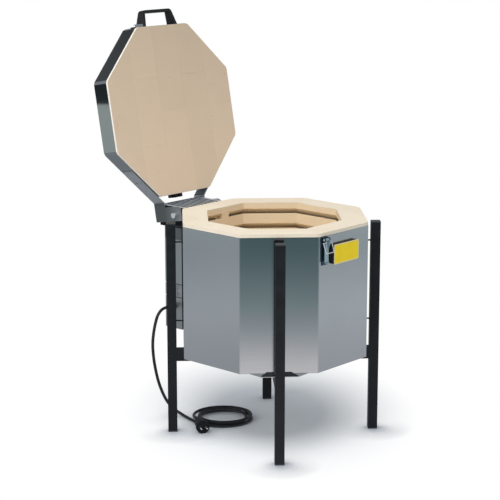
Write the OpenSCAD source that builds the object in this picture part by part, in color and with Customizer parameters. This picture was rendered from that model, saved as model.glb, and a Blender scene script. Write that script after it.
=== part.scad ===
// Top-loading electric kiln: an octagonal brick chamber in a steel jacket on four legs,
// with a hinged lid that stands open, a toggle latch, a switch box and a mains cord.
// Millimetres, +Z up, origin on the floor under the chamber's axis, front face towards -Y.

/* [Chamber] */
// Firing chamber, across its flats
chamber_af = 420; // [380:1:460]
// Thickness of the wall bricks
brick_t = 76; // [70:1:84]
// Height of one course of wall bricks
course_h = 114; // [108:1:122]
// Open joint between neighbouring wall bricks
brick_joint = 0.3; // [0.2:0.1:1.2]
// Open joint between neighbouring bricks of the lid and the floor
slab_joint = 0.2; // [0.1:0.1:1]
// Thickness of the floor bricks
floor_brick_t = 64; // [50:1:76]
// Thickness of the board under the floor bricks
floor_board_t = 30; // [20:1:40]
// Height of the brick rim above the jacket
rim_proud = 10; // [6:1:14]
// Radius of the rounded corners of the lid
corner_r = 25; // [10:1:40]
// Radius of the rounded corners of the rim
rim_corner_r = 40; // [20:1:50]

/* [Element grooves] */
// Depth of a groove into the brick
groove_d = 18; // [15:1:24]
// Height of a groove's slot
groove_h = 14; // [12:1:18]
// Height of the sloped lip above a slot
groove_lip = 9; // [6:1:14]
// Height of the step in front of a slot that keeps the element in
groove_guard = 7.5; // [5:0.5:8.5]
// Depth of that step
groove_guard_d = 5; // [4:0.5:6]
// Depth of the sloped lip
groove_lip_d = 8; // [4:1:10]
// Drop from a course's top to its upper groove
groove_drop = 36.5; // [34:0.5:40]
// Distance between a course's two grooves
groove_pitch = 49.5; // [46:0.5:52]
// Width of the solid web in the middle of the terminal brick
groove_web = 33; // [30:1:44]
// Diameter of a wound heating element
element_dia = 10; // [8:0.5:11]

/* [Wall terminals] */
// Distance of a terminal from the end of its groove
terminal_in = 19.5; // [14:0.5:24]
// Diameter of a ceramic bushing
bushing_dia = 12; // [10:0.5:14]
// Diameter of the element's twisted tail
tail_dia = 4.8; // [4:0.2:5.6]
// Length of a bushing past the jacket
bushing_proud = 20; // [18:1:26]
// Length of a tail past its bushing
tail_proud = 10; // [6:1:14]
// Diameter of the thermocouple's sheath
probe_dia = 10; // [8:0.5:12]
// Reach of the thermocouple into the chamber
probe_reach = 25; // [15:1:32]
// Distance of the thermocouple from the middle of its brick
probe_x = 64; // [62:1:66]

/* [Jacket and base] */
// Thickness of the jacket sheet
jacket_t = 1; // [0.8:0.1:1.5]
// Thickness of the fibre blanket behind the jacket
blanket_t = 3; // [2:0.5:5]
// Bend radius at the jacket's corners
bend_r = 8; // [4:1:12]
// Height of the body's underside above the floor
body_z = 281; // [240:1:320]
// Thickness of the base plate
base_t = 2; // [1.5:0.5:4]
// Half width of the base plate's front and back tabs at the jacket
tab_half = 92; // [80:1:110]
// Half width of those tabs at their outer end
flare_half = 56; // [45:1:70]

/* [Stand] */
// Width of a square leg
leg_w = 30; // [25:1:36]
// Wall of a leg and of a rail
tube_wall = 2; // [1.5:0.5:3]
// Air gap between jacket and leg
leg_gap = 23; // [18:1:30]
// Drop from the jacket's top edge to the leg's top
leg_drop = 11; // [5:1:20]
// Thickness of the cap on a leg
cap_t = 3; // [2:1:6]
// Height of the foot under a leg
foot_t = 4; // [3:1:8]
// Length of a plug inside a leg
plug_in = 20; // [12:1:30]
// Width of a rail
rail_w = 30; // [24:1:36]
// Height of a rail
rail_h = 38; // [30:1:45]
// Thickness of the flange plate at the front and back legs
flange_t = 4; // [3:1:6]
// Half width of that flange plate at the jacket
flange_root = 38; // [30:1:50]
// Diameter of a stand-off between leg and jacket
standoff_dia = 5; // [4:0.5:8]
// Diameter of a stand-off's washer
washer_dia = 14; // [10:1:18]
// Thickness of that washer
washer_t = 2; // [1:0.5:3]
// Drop from the jacket's top edge to the upper stand-offs
standoff_drop = 74; // [50:1:90]
// Rise from the base to the lower stand-offs
standoff_rise = 92; // [70:1:110]

/* [Lid] */
// Lid bricks, across their flats
lid_af = 558; // [540:1:570]
// Thickness of the lid bricks
lid_t = 64; // [56:1:70]
// Height of the lid's steel band
band_h = 57; // [50:1:58]
// Thickness of the band and of the top sheet
band_t = 1; // [0.8:0.1:1.5]
// Gap between the closed lid and the rim
lid_gap = 0.4; // [0.3:0.1:1]
// Rows of bricks in the lid and in the floor
slab_rows = 5; // [4:1:6]
// Angle at which the lid stands open
lid_open = 100.6; // [95:0.1:106]
// Height of the hinge axis below the rim
hinge_drop = 33; // [30:1:38]
// Distance of the hinge axis from the jacket
hinge_off = 56; // [52:1:60]
// Width of a clamp lug on the band
lug_w = 14; // [12:1:20]
// Reach of a clamp lug
lug_reach = 13; // [10:1:16]
// Gap between the two clamp lugs
lug_gap = 7; // [4:1:10]
// Place of the clamp lugs along the hinge side
lug_x = -17; // [-24:1:0]
// Diameter of the clamp screw
lug_screw_dia = 5; // [4:0.5:6]
// Margin of a clamp lug at the band's two edges
lug_margin = 12; // [8:1:16]

/* [Hinge] */
// Thickness of an arm and of the hinge bracket's sheet
arm_t = 3; // [2.5:0.5:4]
// Height of an arm's strap on the band
strap_h = 48; // [40:1:50]
// Reach of an arm below the hinge axis
arm_low = 29; // [20:1:32]
// Reach of an arm past the hinge axis
arm_past = 20; // [16:1:22]
// Reach of an arm in front of the hinge axis
arm_front = 28; // [20:1:32]
// Length of the strap along the oblique face of the lid
strap_len = 172; // [140:1:190]
// Half width of the hinge bracket
bracket_half = 92; // [85:1:96]
// Gap between bracket and arm
arm_gap = 2; // [1:0.5:4]
// Radius of the rounded corners of arm and bracket towards the rim
plate_r = 14; // [8:1:18]
// Reach of the hinge bracket from the jacket
bracket_reach = 131; // [126:1:140]
// Drop from the rim to the bracket's top plate
bracket_drop = 6; // [5:1:9]
// Number of vent slots in the top plate
vent_count = 9; // [7:1:11]
// Width of a vent slot
vent_w = 9; // [6:1:11]
// Margin of the vent slots at the plate's two edges
vent_margin = 14; // [10:1:20]
// Diameter of the hinge bolt
pivot_dia = 12; // [10:1:14]
// Radial play of the pivots
pivot_play = 0.05; // [0.03:0.01:0.08]
// Diameter of the hinge bolt's head
pivot_head_dia = 18; // [16:1:24]
// Height of the hinge bolt's head
pivot_head_h = 10; // [6:1:12]
// Diameter of the pin that stops the open lid
stop_dia = 8; // [6:1:9]
// Gap between the open arm and its stop pin
stop_gap = 0.3; // [0.2:0.1:0.6]

/* [Handle] */
// Half length of the handle at its base
handle_half = 77; // [70:1:78]
// Half length of the handle at its grip
grip_half = 64; // [56:1:68]
// Reach of the handle from the band
handle_reach = 54; // [46:1:60]
// Thickness of a handle leg
handle_leg = 9; // [7:1:12]
// Thickness of the grip
grip_t = 10; // [8:1:13]
// Width of the handle at its base
handle_w = 40; // [34:1:46]
// Width of the handle at its grip
grip_w = 22; // [18:1:28]
// Corner radius outside the grip
grip_r = 13; // [9:1:16]
// Diameter of a handle screw
handle_screw_dia = 4; // [3.5:0.5:4.5]

/* [Latch] */
// Gap between the handle's foot and the latch strike
latch_gap = 2; // [1:0.5:4]
// Height of the latch base
latch_h = 88; // [80:1:96]
// Width of the latch base
latch_w = 26; // [26:0.5:29]
// Thickness of the latch's sheet parts
latch_t = 2; // [1.5:0.5:2.5]
// Drop from the jacket's edge to the lever's axis
lever_drop = 10; // [9:1:13]
// Distance of the lever's axis from the jacket
lever_off = 9; // [8.5:0.5:10]
// Diameter of the lever's pin
latch_pin_dia = 5; // [4:0.5:5.5]
// Length of the lever below its axis
lever_len = 74; // [66:1:78]
// Width of the lever
lever_w = 18; // [16:1:20]
// Gap beside the lever
lever_gap = 0.4; // [0.3:0.1:0.8]
// Drop from the lever's axis to the bail's axis
bail_drop = 9; // [8.5:0.5:10]
// Offset of the bail's axis outwards from the lever's axis
bail_off = 4; // [3.5:0.5:5]
// Diameter of the bail's wire
wire_dia = 3; // [2.5:0.5:3.5]
// Width of the bail between its wires' centres
bail_w = 38; // [34:1:42]
// Length of the bail
bail_len = 32; // [28:1:34]
// Angle at which the bail hangs away from the lever
bail_hang = 20; // [18:1:25]
// Width of the strike on the lid
strike_w = 34; // [28:1:35]
// Height of the strike's plate
strike_h = 26; // [20:1:30]
// Reach of the strike's hook
strike_reach = 9; // [7:1:10]
// Height of the hook's lip
strike_lip = 7; // [5:1:9]

/* [Plate block] */
// Distance of the plate's block from the middle of its face
block_x = 3.5; // [-6:0.5:8]
// Drop from the jacket's edge to the middle of the block
block_drop = 62.5; // [50:0.5:80]
// Width of the block
block_w = 118; // [100:1:124]
// Height of the block
block_h = 60; // [50:1:70]
// Depth of the block
block_d = 12; // [8:1:18]
// Radius of the block's upright edges
block_r = 3; // [2:0.5:6]

/* [Switch box] */
// Half width of the box
box_half = 112; // [108:1:116]
// Depth of the box
box_depth = 77; // [72:1:80]
// Air gap between jacket and box
box_gap = 13; // [9:1:16]
// Height of the box's underside above the body's underside
box_rise = 23; // [15:1:30]
// Height of the lower tray
tray_h = 107; // [104:1:112]
// Height of the vent panel
vent_h = 41.5; // [40:0.5:46]
// Height of the removable cover
cover_h = 149.5; // [145:0.5:152]
// Gap between the hood and the swinging arms
hood_gap = 1.5; // [1:0.5:4]
// Seam below and above the vent panel
box_seam = 2.5; // [1.5:0.5:4]
// Seam between cover and hood
hood_seam = 0.4; // [0.3:0.1:1]
// Thickness of the box's sheet
box_t = 1.2; // [1:0.1:1.5]
// Depth of the back plate's side flanges
box_flange = 12; // [8:1:20]
// Diameter of a spacer behind the box
box_spacer_dia = 12; // [10:1:16]
// Rows of holes in each side of the vent panel
hole_rows = 5; // [3:1:5]
// Columns of holes in each side of the vent panel
hole_cols = 8; // [5:1:9]
// Width of a hole
hole_w = 3.5; // [2:0.5:4]
// Height of a hole
hole_h = 3; // [2:0.5:4]
// Pitch of the holes
hole_pitch = 6.8; // [6:0.2:7.4]
// Rise of the knob's axis above the cover's lower edge
knob_rise = 102.5; // [95:0.5:112]
// Diameter of the knob
knob_dia = 36; // [30:1:44]
// Length of the knob
knob_l = 16; // [14:1:20]
// Diameter of the regulator's shaft
shaft_dia = 6; // [5:0.5:7]
// Diameter of the pilot lamp
lamp_dia = 12; // [10:1:16]
// Distance of the pilot lamp from the knob's axis
lamp_x = 50; // [42:1:60]

/* [Cord] */
// Diameter of the mains cord
cord_dia = 10; // [9:0.5:11]
// Distance of the cable gland from the front of the box
gland_in = 33.5; // [28:0.5:38]
// Rise of the gland above the box's underside
gland_rise = 75; // [60:1:80]
// Length of the gland outside the box
gland_len = 22; // [18:1:26]
// Diameter of the gland's cap nut
gland_dia = 22; // [19:1:26]
// Largest radius of the coil on the floor
coil_r = 100; // [96:1:110]
// Depth of the coil as a share of its width
coil_squash = 0.88; // [0.86:0.01:1]
// Change of the coil's radius in one turn
coil_pitch = 18; // [16:0.5:20]
// Diameter of the plug's rim
plug_dia = 44; // [38:1:48]
// Length of the plug's body
plug_len = 62; // [54:1:70]
// Length of the plug's strain relief
relief_len = 30; // [24:1:40]
// Diameter of a plug pin
pin_dia = 4.8; // [4:0.2:5]
// Length of a plug pin
pin_len = 19; // [17:1:20]
// Distance between the plug pins
pin_pitch = 19; // [17:1:20]

/* [Hidden] */
$fn = 48;
eps = 0.01;
faces = 8;
step = 360 / faces;
half_step = step / 2;
courses = 3;

// Radii and levels of the body
brick_in = chamber_af / 2;
brick_out = brick_in + brick_t;
half_af = brick_out + blanket_t + jacket_t;
floor_z = body_z + floor_board_t + floor_brick_t;
rim_z = floor_z + courses * course_h;
jacket_top = rim_z - rim_proud;
jacket_h = jacket_top - body_z;
element_r = element_dia / 2;
element_at = brick_in + groove_d - element_r - 2;
groove_back = brick_in + groove_d;
element_bend = 16;
terminal_x = groove_web / 2 + terminal_in;

// Faces that carry something, counted from the back face
hinge_face = 1;
left_face = 2;
front_face = 4;
latch_face = 5;
right_face = 6;

// Stand
leg_in = half_af + leg_gap;
leg_mid = leg_in + leg_w / 2;
leg_top = jacket_top - leg_drop;
rail_top = body_z - base_t;
legs = [0, left_face, front_face, right_face];
tab_legs = [0, front_face];

// Lid, given in its closed place
lid_z = rim_z + lid_gap;
lid_top = lid_z + lid_t;
band_low = lid_top - band_h;
band_af = lid_af + 2 * band_t;
hinge_o = half_af + hinge_off;
hinge_z = rim_z - hinge_drop;
arm_in = bracket_half + arm_gap;
strap_z = band_low + (band_h - strap_h) / 2;
arm_top = strap_z + strap_h;
screw_head = 3;
screw_bite = 12;

// Hinge bracket
bracket_end = half_af + bracket_reach;
bracket_top = rim_z - bracket_drop;
bracket_in = half_af + 0.4;
stop_y = arm_past + stop_dia / 2 + stop_gap;
stop_up = 60;
stop_o = hinge_o + stop_y * cos(lid_open) + stop_up * sin(lid_open);
stop_z = hinge_z - stop_y * sin(lid_open) + stop_up * cos(lid_open);

// Switch box
box_in = half_af + box_gap;
box_out = box_in + box_depth;
box_z = body_z + box_rise;
vent_z = box_z + tray_h + box_seam;
cover_z = vent_z + vent_h + box_seam;
hood_z = cover_z + cover_h + hood_seam;
arm_sweep = norm([arm_past, arm_low]);
box_top = hinge_z - arm_sweep - hood_gap;
hood_h = box_top - hood_z;
flange_half = box_half - box_t - 0.2;
knob_z = cover_z + knob_rise;

// Latch, given on its own face, beside the lid's handle
latch_x = handle_half + strike_w / 2 + latch_gap;
lever_y = half_af + lever_off;
lever_z = jacket_top - lever_drop;
bail_y = lever_y + bail_off;
bail_z = lever_z - bail_drop;
lever_half = lever_w / 2;
ear_in = lever_half + lever_gap;
wire_r = wire_dia / 2;

// Cord: the gland's mouth, the coil's place and the plug's place
cord_r = cord_dia / 2;
gland_u = -box_half - gland_len;
gland_o = box_out - gland_in;
gland_z = box_z + gland_rise;
gland_mouth = diagonal(gland_u, gland_o, gland_z);
gland_way = [-sqrt(0.5), -sqrt(0.5), 0];
coil_mid = [-158, 104, 0];
coil_from = 215;
coil_to = 1260;
coil_turn = (coil_from + coil_to) / 2;
coil_step = 15;
layer_low = cord_r;
layer_high = 3 * cord_r + 0.5;
plug_way = [0.22, -0.9755, 0];
plug_entry = [-250, 53, plug_dia / 2];
lead_route = [
    gland_mouth,
    gland_mouth + 5 * gland_way,
    gland_mouth + 10 * gland_way,
    [-355.5, 134.6, 377.7],
    [-363.8, 126.3, 373],
    [-371, 119.3, 364.8],
    [-377, 114, 352.8],
    [-383.2, 110.2, 330],
    [-388.4, 109.6, 302],
    [-391.7, 112.5, 270],
    [-391.4, 120, 234],
    [-387, 131.5, 187],
    [-377, 145.5, 130],
    [-364, 155, 86],
    [-349, 159.5, 52],
    [-333, 159.5, 30],
    [-316, 154, 16],
    [-301, 143, 9],
    [-287, 125, 5.6],
    [-274, 103, 5],
    coil_at(coil_from) - 22 * coil_way(coil_from),
    coil_at(coil_from) - 10 * coil_way(coil_from),
    coil_at(coil_from)
];

// A point given along the hinge face, out from the axis and up
function diagonal(u, o, z) = [(u - o) * sqrt(0.5), (u + o) * sqrt(0.5), z];

// Half length of a side of an octagon, at a distance from the axis
function side_half(r) = r * tan(half_step);

// Heights of the six element grooves, from the floor up
function groove_z(course, row) = floor_z + (course + 1) * course_h - groove_drop - row * groove_pitch;

// Heights of the six heating elements, each on the floor of its groove
function element_z(course, row) = groove_z(course, row) - groove_h / 2 + element_r + 0.1;

// Corners of an arc, from one angle to another
function arc(c, r, a0, a1, n = 6) = [for (i = [0:n]) c + r * [cos(a0 + (a1 - a0) * i / n), sin(a0 + (a1 - a0) * i / n)]];

// Point of the coil at an angle: it spirals in on the floor, climbs, and spirals out on top
function coil_radius(a) = coil_r - coil_pitch * (coil_turn - coil_from) / 360 + coil_pitch * abs(a - coil_turn) / 360;
function climb(a) = max(0, min(1, (a - coil_turn + 90) / 180));
function coil_height(a) = layer_low + (layer_high - layer_low) * (1 - cos(180 * climb(a))) / 2;
function coil_at(a) = coil_mid + [coil_radius(a) * cos(a), coil_squash * coil_radius(a) * sin(a), coil_height(a)];
function coil_way(a) = unit([-sin(a), coil_squash * cos(a), 0]);

// Vector helpers
function unit(v) = v / norm(v);
function along(p, i) = unit(p[min(i + 1, len(p) - 1)] - p[max(i - 1, 0)]);
function square_to(v, t) = unit(v - (v * t) * t);

// Point of a smooth curve between p1 and p2
function curve_point(p0, p1, p2, p3, t) =
    (2 * p1 + (p2 - p0) * t + (2 * p0 - 5 * p1 + 4 * p2 - p3) * t * t + (3 * p1 - p0 - 3 * p2 + p3) * t * t * t) / 2;

// A route with n steps in each stretch
function smooth(p, n) = concat(
    [for (i = [0:len(p) - 2]) for (k = [0:n - 1])
        curve_point(p[max(i - 1, 0)], p[i], p[i + 1], p[min(i + 2, len(p) - 1)], k / n)],
    [p[len(p) - 1]]);

// Side vectors that turn as little as possible along a route
function sides_along(p, i = 0, s = [0, 0, 1], done = []) =
    i == len(p) ? done :
    let (now = square_to(s, along(p, i))) sides_along(p, i + 1, now, concat(done, [now]));

// Length of a route
function route_length(p, i = 0) = i >= len(p) - 1 ? 0 : norm(p[i + 1] - p[i]) + route_length(p, i + 1);

// Least distance between two stretches of a route that are more than skip points apart
function least_gap(p, skip) = min([for (i = [0:len(p) - 1]) for (j = [i + skip:1:len(p) - 1]) norm(p[i] - p[j])]);

// Tube with n sides swept along a route, its ends square to the route; each point has its own radius
module tube(p, radii, n, turn = 0) {
    s = sides_along(p);
    points = [for (i = [0:len(p) - 1]) for (k = [0:n - 1])
        let (t = along(p, i), c = cross(t, s[i]), a = turn + 360 * k / n)
        p[i] + radii[i] * (cos(a) * s[i] + sin(a) * c)];
    last = (len(p) - 1) * n;
    walls = [for (i = [0:len(p) - 2]) for (k = [0:n - 1])
        let (a = i * n + k, b = i * n + (k + 1) % n) each [[a, a + n, b + n], [a, b + n, b]]];
    ends = [for (k = [1:n - 2]) each [[0, k, k + 1], [last, last + k + 1, last + k]]];
    polyhedron(points, concat(walls, ends), convexity = 10);
}

// Outline of an octagon with flat sides towards the axes
module octagon(af) {
    polygon([for (i = [0:faces - 1]) af / 2 / cos(half_step) * [cos(half_step + step * i), sin(half_step + step * i)]]);
}

// Octagonal block whose upright edges are rounded
module octagon_block(af, h, r) {
    reach = af / 2 / cos(half_step);
    intersection() {
        linear_extrude(h) octagon(af);
        translate([0, 0, -eps]) cylinder(h = h + 2 * eps, r = reach - r * (1 / cos(half_step) - 1), $fn = 96);
    }
}

// Places its children on one face: x along it, y out from the axis
module on_face(i) {
    rotate([0, 0, step * i]) children();
}

// Places its children, drawn on the closed lid, at the angle where the lid stands open
module on_lid() {
    on_face(hinge_face) translate([0, hinge_o, hinge_z]) rotate([-lid_open, 0, 0]) translate([0, -hinge_o, -hinge_z])
        children();
}

// Cylinder along y, from y0 to y1
module rod_y(x, z, r, y0, y1) {
    translate([x, y0, z]) rotate([-90, 0, 0]) cylinder(h = y1 - y0, r = r);
}

// Cylinder along x, from x0 to x1
module rod_x(y, z, r, x0, x1) {
    translate([x0, y, z]) rotate([0, 90, 0]) cylinder(h = x1 - x0, r = r);
}

// Prism along x whose outline is given as [y, z] points
module prism_x(points, x0, x1) {
    translate([x0, 0, 0]) rotate([90, 0, 90]) linear_extrude(x1 - x0) polygon(points);
}

// Holes for the element tails and the thermocouple through the terminal wall
module terminal_holes(play, y0, y1) {
    on_face(hinge_face) {
        for (c = [0:courses - 1], row = [0, 1], x = [-terminal_x, terminal_x])
            rod_y(x, element_z(c, row), bushing_dia / 2 + play, y0, y1);
        rod_y(probe_x, probe_z(), probe_dia / 2 + play, y0, y1);
    }
}

// Height of the thermocouple, midway between the middle course's two grooves
function probe_z() = groove_z(1, 0) - groove_pitch / 2;

// Octagonal slab laid from bricks in rows, with the joints of each row shifted
module brick_slab(af, t, r) {
    row_w = af / slab_rows;
    for (row = [0:slab_rows - 1]) {
        cuts = row % 2 == 0 ? [-af, 0, af] : [-af, -af / 5, af / 5, af];
        for (k = [0:len(cuts) - 2])
            intersection() {
                octagon_block(af, t, r);
                translate([row * row_w - af / 2 + slab_joint / 2, cuts[k] + slab_joint / 2, 0])
                    cube([row_w - slab_joint, cuts[k + 1] - cuts[k] - slab_joint, t]);
            }
    }
}

// Stand

module leg(i) {
    color("#22282a") on_face(i) difference() {
        translate([-leg_w / 2, leg_in, foot_t]) cube([leg_w, leg_w, leg_top - cap_t - foot_t]);
        translate([tube_wall - leg_w / 2, leg_in + tube_wall, foot_t - 1])
            cube([leg_w - 2 * tube_wall, leg_w - 2 * tube_wall, leg_top]);
    }
}

// Plug for a leg's end: a pad as wide as the leg and a stem inside it
module leg_plug(pad_z, pad_t, stem_z) {
    stem_w = leg_w - 2 * tube_wall - 0.2;
    translate([-leg_w / 2, leg_in, pad_z]) cube([leg_w, leg_w, pad_t]);
    translate([-stem_w / 2, leg_mid - stem_w / 2, stem_z]) cube([stem_w, stem_w, plug_in]);
}

module leg_caps() {
    color("#3a4144") for (i = legs) on_face(i) leg_plug(leg_top - cap_t, cap_t, leg_top - cap_t - plug_in);
}

module leg_feet() {
    color("#1b1f20") for (i = legs) on_face(i) leg_plug(0, foot_t, foot_t);
}

// Rail under the base plate, along y from y0 to y1
module rail(y0, y1) {
    color("#22282a") translate([0, y0, rail_top - rail_h]) difference() {
        translate([-rail_w / 2, 0, 0]) cube([rail_w, y1 - y0, rail_h]);
        translate([tube_wall - rail_w / 2, -1, tube_wall])
            cube([rail_w - 2 * tube_wall, y1 - y0 + 2, rail_h - 2 * tube_wall]);
    }
}

module rail_across() {
    on_face(right_face) rail(-leg_in, leg_in);
}

module rail_half(i) {
    on_face(i) rail(rail_w / 2, leg_in);
}

// Flange plate welded to the front and the back leg, on the base plate's tab
module leg_flanges() {
    root = half_af + 0.3;
    color("#22282a") for (i = tab_legs) on_face(i) difference() {
        translate([0, 0, body_z]) linear_extrude(flange_t)
            polygon([[-flange_root, root], [flange_root, root], [flare_half, leg_mid], [-flare_half, leg_mid]]);
        translate([-leg_w / 2, leg_in, body_z - 1]) cube([leg_w, leg_w, flange_t + 2]);
    }
}

module leg_standoffs() {
    color("#3f4548") for (i = legs, z = [body_z + standoff_rise, jacket_top - standoff_drop]) on_face(i) {
        rod_y(0, z, standoff_dia / 2, half_af, leg_in);
        rod_y(0, z, washer_dia / 2, half_af, half_af + washer_t);
    }
}

// Body

module base_plate() {
    color("#b9bec0") translate([0, 0, body_z - base_t]) linear_extrude(base_t) difference() {
        union() {
            octagon(2 * half_af);
            for (i = tab_legs) rotate(step * i) polygon([
                [-tab_half, half_af - 1], [tab_half, half_af - 1], [flare_half, leg_mid], [-flare_half, leg_mid]]);
        }
        for (i = tab_legs) rotate(step * i) translate([-leg_w / 2, leg_in]) square([leg_w, leg_w]);
    }
}

module jacket() {
    color("#aeb4b8") difference() {
        translate([0, 0, body_z]) octagon_block(2 * half_af, jacket_h, bend_r);
        translate([0, 0, body_z - 1]) octagon_block(2 * (half_af - jacket_t), jacket_h + 2, bend_r - jacket_t);
        terminal_holes(0.3, brick_out, half_af + 1);
    }
}

module fibre_blanket() {
    color("#eeeae0") difference() {
        translate([0, 0, body_z]) octagon_block(2 * (half_af - jacket_t), jacket_h, bend_r - jacket_t);
        translate([0, 0, body_z - 1]) linear_extrude(jacket_h + 2) octagon(2 * brick_out + 0.04);
        terminal_holes(0.3, brick_out - 1, half_af);
    }
}

module floor_board() {
    color("#e3ddcf") translate([0, 0, body_z]) linear_extrude(floor_board_t) octagon(2 * brick_out);
}

module floor_bricks() {
    color("#dcc7a4") translate([0, 0, body_z + floor_board_t]) brick_slab(2 * brick_out, floor_brick_t, 0);
}

// Outline of an element groove: a slot with a sloped lip above its mouth and a step below it, as [y, z]
function groove_outline(z) = [
    [brick_in - 1, z + groove_guard - groove_h / 2], [brick_in, z + groove_guard - groove_h / 2],
    [brick_in + groove_guard_d, z - groove_h / 2], [groove_back, z - groove_h / 2], [groove_back, z + groove_h / 2],
    [brick_in + groove_lip_d, z + groove_h / 2], [brick_in, z + groove_h / 2 + groove_lip],
    [brick_in - 1, z + groove_h / 2 + groove_lip]];

// Plan of a mitred wall brick, from r0 to r1
module brick_plan(r0, r1) {
    miter = brick_joint / 2 / cos(half_step);
    polygon([[miter - side_half(r0), r0], [side_half(r0) - miter, r0],
        [side_half(r1) - miter, r1], [miter - side_half(r1), r1]]);
}

// One course: eight bricks with two grooves each, the terminal brick with a web between groove ends
module course(c) {
    z0 = floor_z + c * course_h;
    reach = side_half(groove_back) + 1;
    color("#e6d6ba") difference() {
        for (i = [0:faces - 1]) on_face(i) difference() {
            translate([0, 0, z0]) linear_extrude(course_h) brick_plan(brick_in, brick_out);
            for (row = [0, 1])
                if (i == hinge_face) {
                    prism_x(groove_outline(groove_z(c, row)), -reach, -groove_web / 2);
                    prism_x(groove_outline(groove_z(c, row)), groove_web / 2, reach);
                } else {
                    prism_x(groove_outline(groove_z(c, row)), -reach, reach);
                }
        }
        terminal_holes(0.1, brick_in + groove_d - 1, brick_out + 1);
        on_face(hinge_face) rod_y(probe_x, probe_z(), probe_dia / 2 + 0.1, brick_in - 1, brick_out + 1);
    }
}

// Lip of the top course: it covers the edges of the blanket and the jacket, its corners rounded
module rim_lip() {
    miter = brick_joint / 2 / cos(half_step);
    r0 = brick_out - 2;
    mid = [side_half(half_af) - rim_corner_r * tan(half_step) - miter, half_af - rim_corner_r];
    plan = concat([[miter - side_half(r0), r0], [side_half(r0) - miter, r0]],
        arc(mid, rim_corner_r, 90 - half_step, 90, 4),
        arc([-mid[0], mid[1]], rim_corner_r, 90, 90 + half_step, 4));
    color("#ecdfc6") for (i = [0:faces - 1]) on_face(i)
        translate([0, 0, jacket_top]) linear_extrude(rim_proud) polygon(plan);
}

module rim_course() {
    course(courses - 1);
    rim_lip();
}

// Heating element of one groove: an open octagon with two tails out through the wall
function tail_points() = [
    [terminal_x, half_af + bushing_proud + tail_proud],
    [terminal_x, groove_back + 1],
    [terminal_x, element_at + element_r],
    [terminal_x + 2, element_at + 2],
    [terminal_x + 8, element_at]];
function tail_radii() = [tail_dia / 2, tail_dia / 2, tail_dia / 2, 0.7 * element_r, element_r];
function bend_points() =
    let (x = side_half(element_at) - element_bend * tan(half_step), y = element_at - element_bend)
    [for (a = [90, 90 - half_step, 90 - step]) [x, y] + element_bend * [cos(a), sin(a)]];
function on_wall(i, p, z) = [p[0] * cos(step * i) - p[1] * sin(step * i), p[0] * sin(step * i) + p[1] * cos(step * i), z];

module element(z) {
    tail = tail_points();
    route = concat(
        [for (p = tail) on_wall(hinge_face, p, z)],
        [for (k = [0:faces - 1]) for (p = bend_points()) on_wall(hinge_face - k, p, z)],
        [for (k = [1:len(tail)]) let (p = tail[len(tail) - k]) on_wall(hinge_face, [-p[0], p[1]], z)]);
    ends = tail_radii();
    radii = concat(ends, [for (k = [1:3 * faces]) element_r], [for (k = [1:len(ends)]) ends[len(ends) - k]]);
    tube(route, radii, 8);
}

module heating_elements() {
    color("#6e5a50") for (c = [0:courses - 1], row = [0, 1]) element(element_z(c, row));
}

module terminal_bushings() {
    end = half_af + bushing_proud;
    color("#f0ece2") on_face(hinge_face) for (c = [0:courses - 1], row = [0, 1], x = [-terminal_x, terminal_x])
        difference() {
            rod_y(x, element_z(c, row), bushing_dia / 2, groove_back, end);
            rod_y(x, element_z(c, row), tail_dia / 2 + 0.1, groove_back - 1, end + 1);
        }
}

module thermocouple() {
    color("#e8e2d4") on_face(hinge_face) {
        rod_y(probe_x, probe_z(), probe_dia / 2, brick_in - probe_reach, half_af + bushing_proud);
        rod_y(probe_x, probe_z(), probe_dia, half_af + bushing_proud, half_af + bushing_proud + 16);
    }
}

// Hinge

// Bracket of folded sheet: slotted top plate, two cheeks, two flanges on the jacket, two stop pins
module hinge_bracket() {
    pitch = 2 * (bracket_half - vent_margin) / vent_count;
    cheek_z = box_top + 0.8;
    cheek = [[bracket_in, cheek_z], [box_out + 4, cheek_z], [stop_o - stop_dia, stop_z - stop_dia],
        [bracket_end, stop_z - stop_dia], [bracket_end, bracket_top],
        each arc([bracket_in + plate_r, bracket_top - plate_r], plate_r, 90, 180)];
    color("#8c9296") on_face(hinge_face) difference() {
        union() {
            for (x = [-bracket_half, bracket_half - arm_t]) prism_x(cheek, x, x + arm_t);
            translate([-bracket_half, bracket_in, bracket_top - arm_t])
                cube([2 * bracket_half, bracket_end - bracket_in, arm_t]);
            for (x = [-bracket_half, bracket_half - 30])
                translate([x, bracket_in, cheek_z]) cube([30, arm_t, bracket_top - plate_r - cheek_z]);
            for (x = [-bracket_half - arm_gap - arm_t, bracket_half - 1])
                rod_x(stop_o, stop_z, stop_dia / 2, x, x + arm_gap + arm_t + 1);
        }
        for (k = [0:vent_count - 1])
            translate([vent_margin - bracket_half + (k + 0.5) * pitch - vent_w / 2, bracket_in + vent_margin,
                bracket_top - arm_t - 1])
                cube([vent_w, bracket_end - bracket_in - 2 * vent_margin, arm_t + 2]);
        rod_x(hinge_o, hinge_z, pivot_dia / 2, -bracket_half - 1, bracket_half + 1);
    }
}

// Shoulder bolt through each cheek and its arm, with a head outside and a nut inside
module hinge_bolts() {
    head_in = arm_in + arm_t + 0.4;
    color("#d9dcde") on_face(hinge_face) for (side = [0, 1]) mirror([side, 0, 0]) {
        rod_x(hinge_o, hinge_z, pivot_dia / 2, bracket_half - arm_t - 12, head_in);
        rod_x(hinge_o, hinge_z, pivot_head_dia / 2, head_in, head_in + pivot_head_h);
        translate([bracket_half - arm_t - 9, hinge_o, hinge_z]) rotate([0, 90, 0])
            cylinder(h = 9, d = pivot_head_dia, $fn = 6);
    }
}

// Switch box

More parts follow.
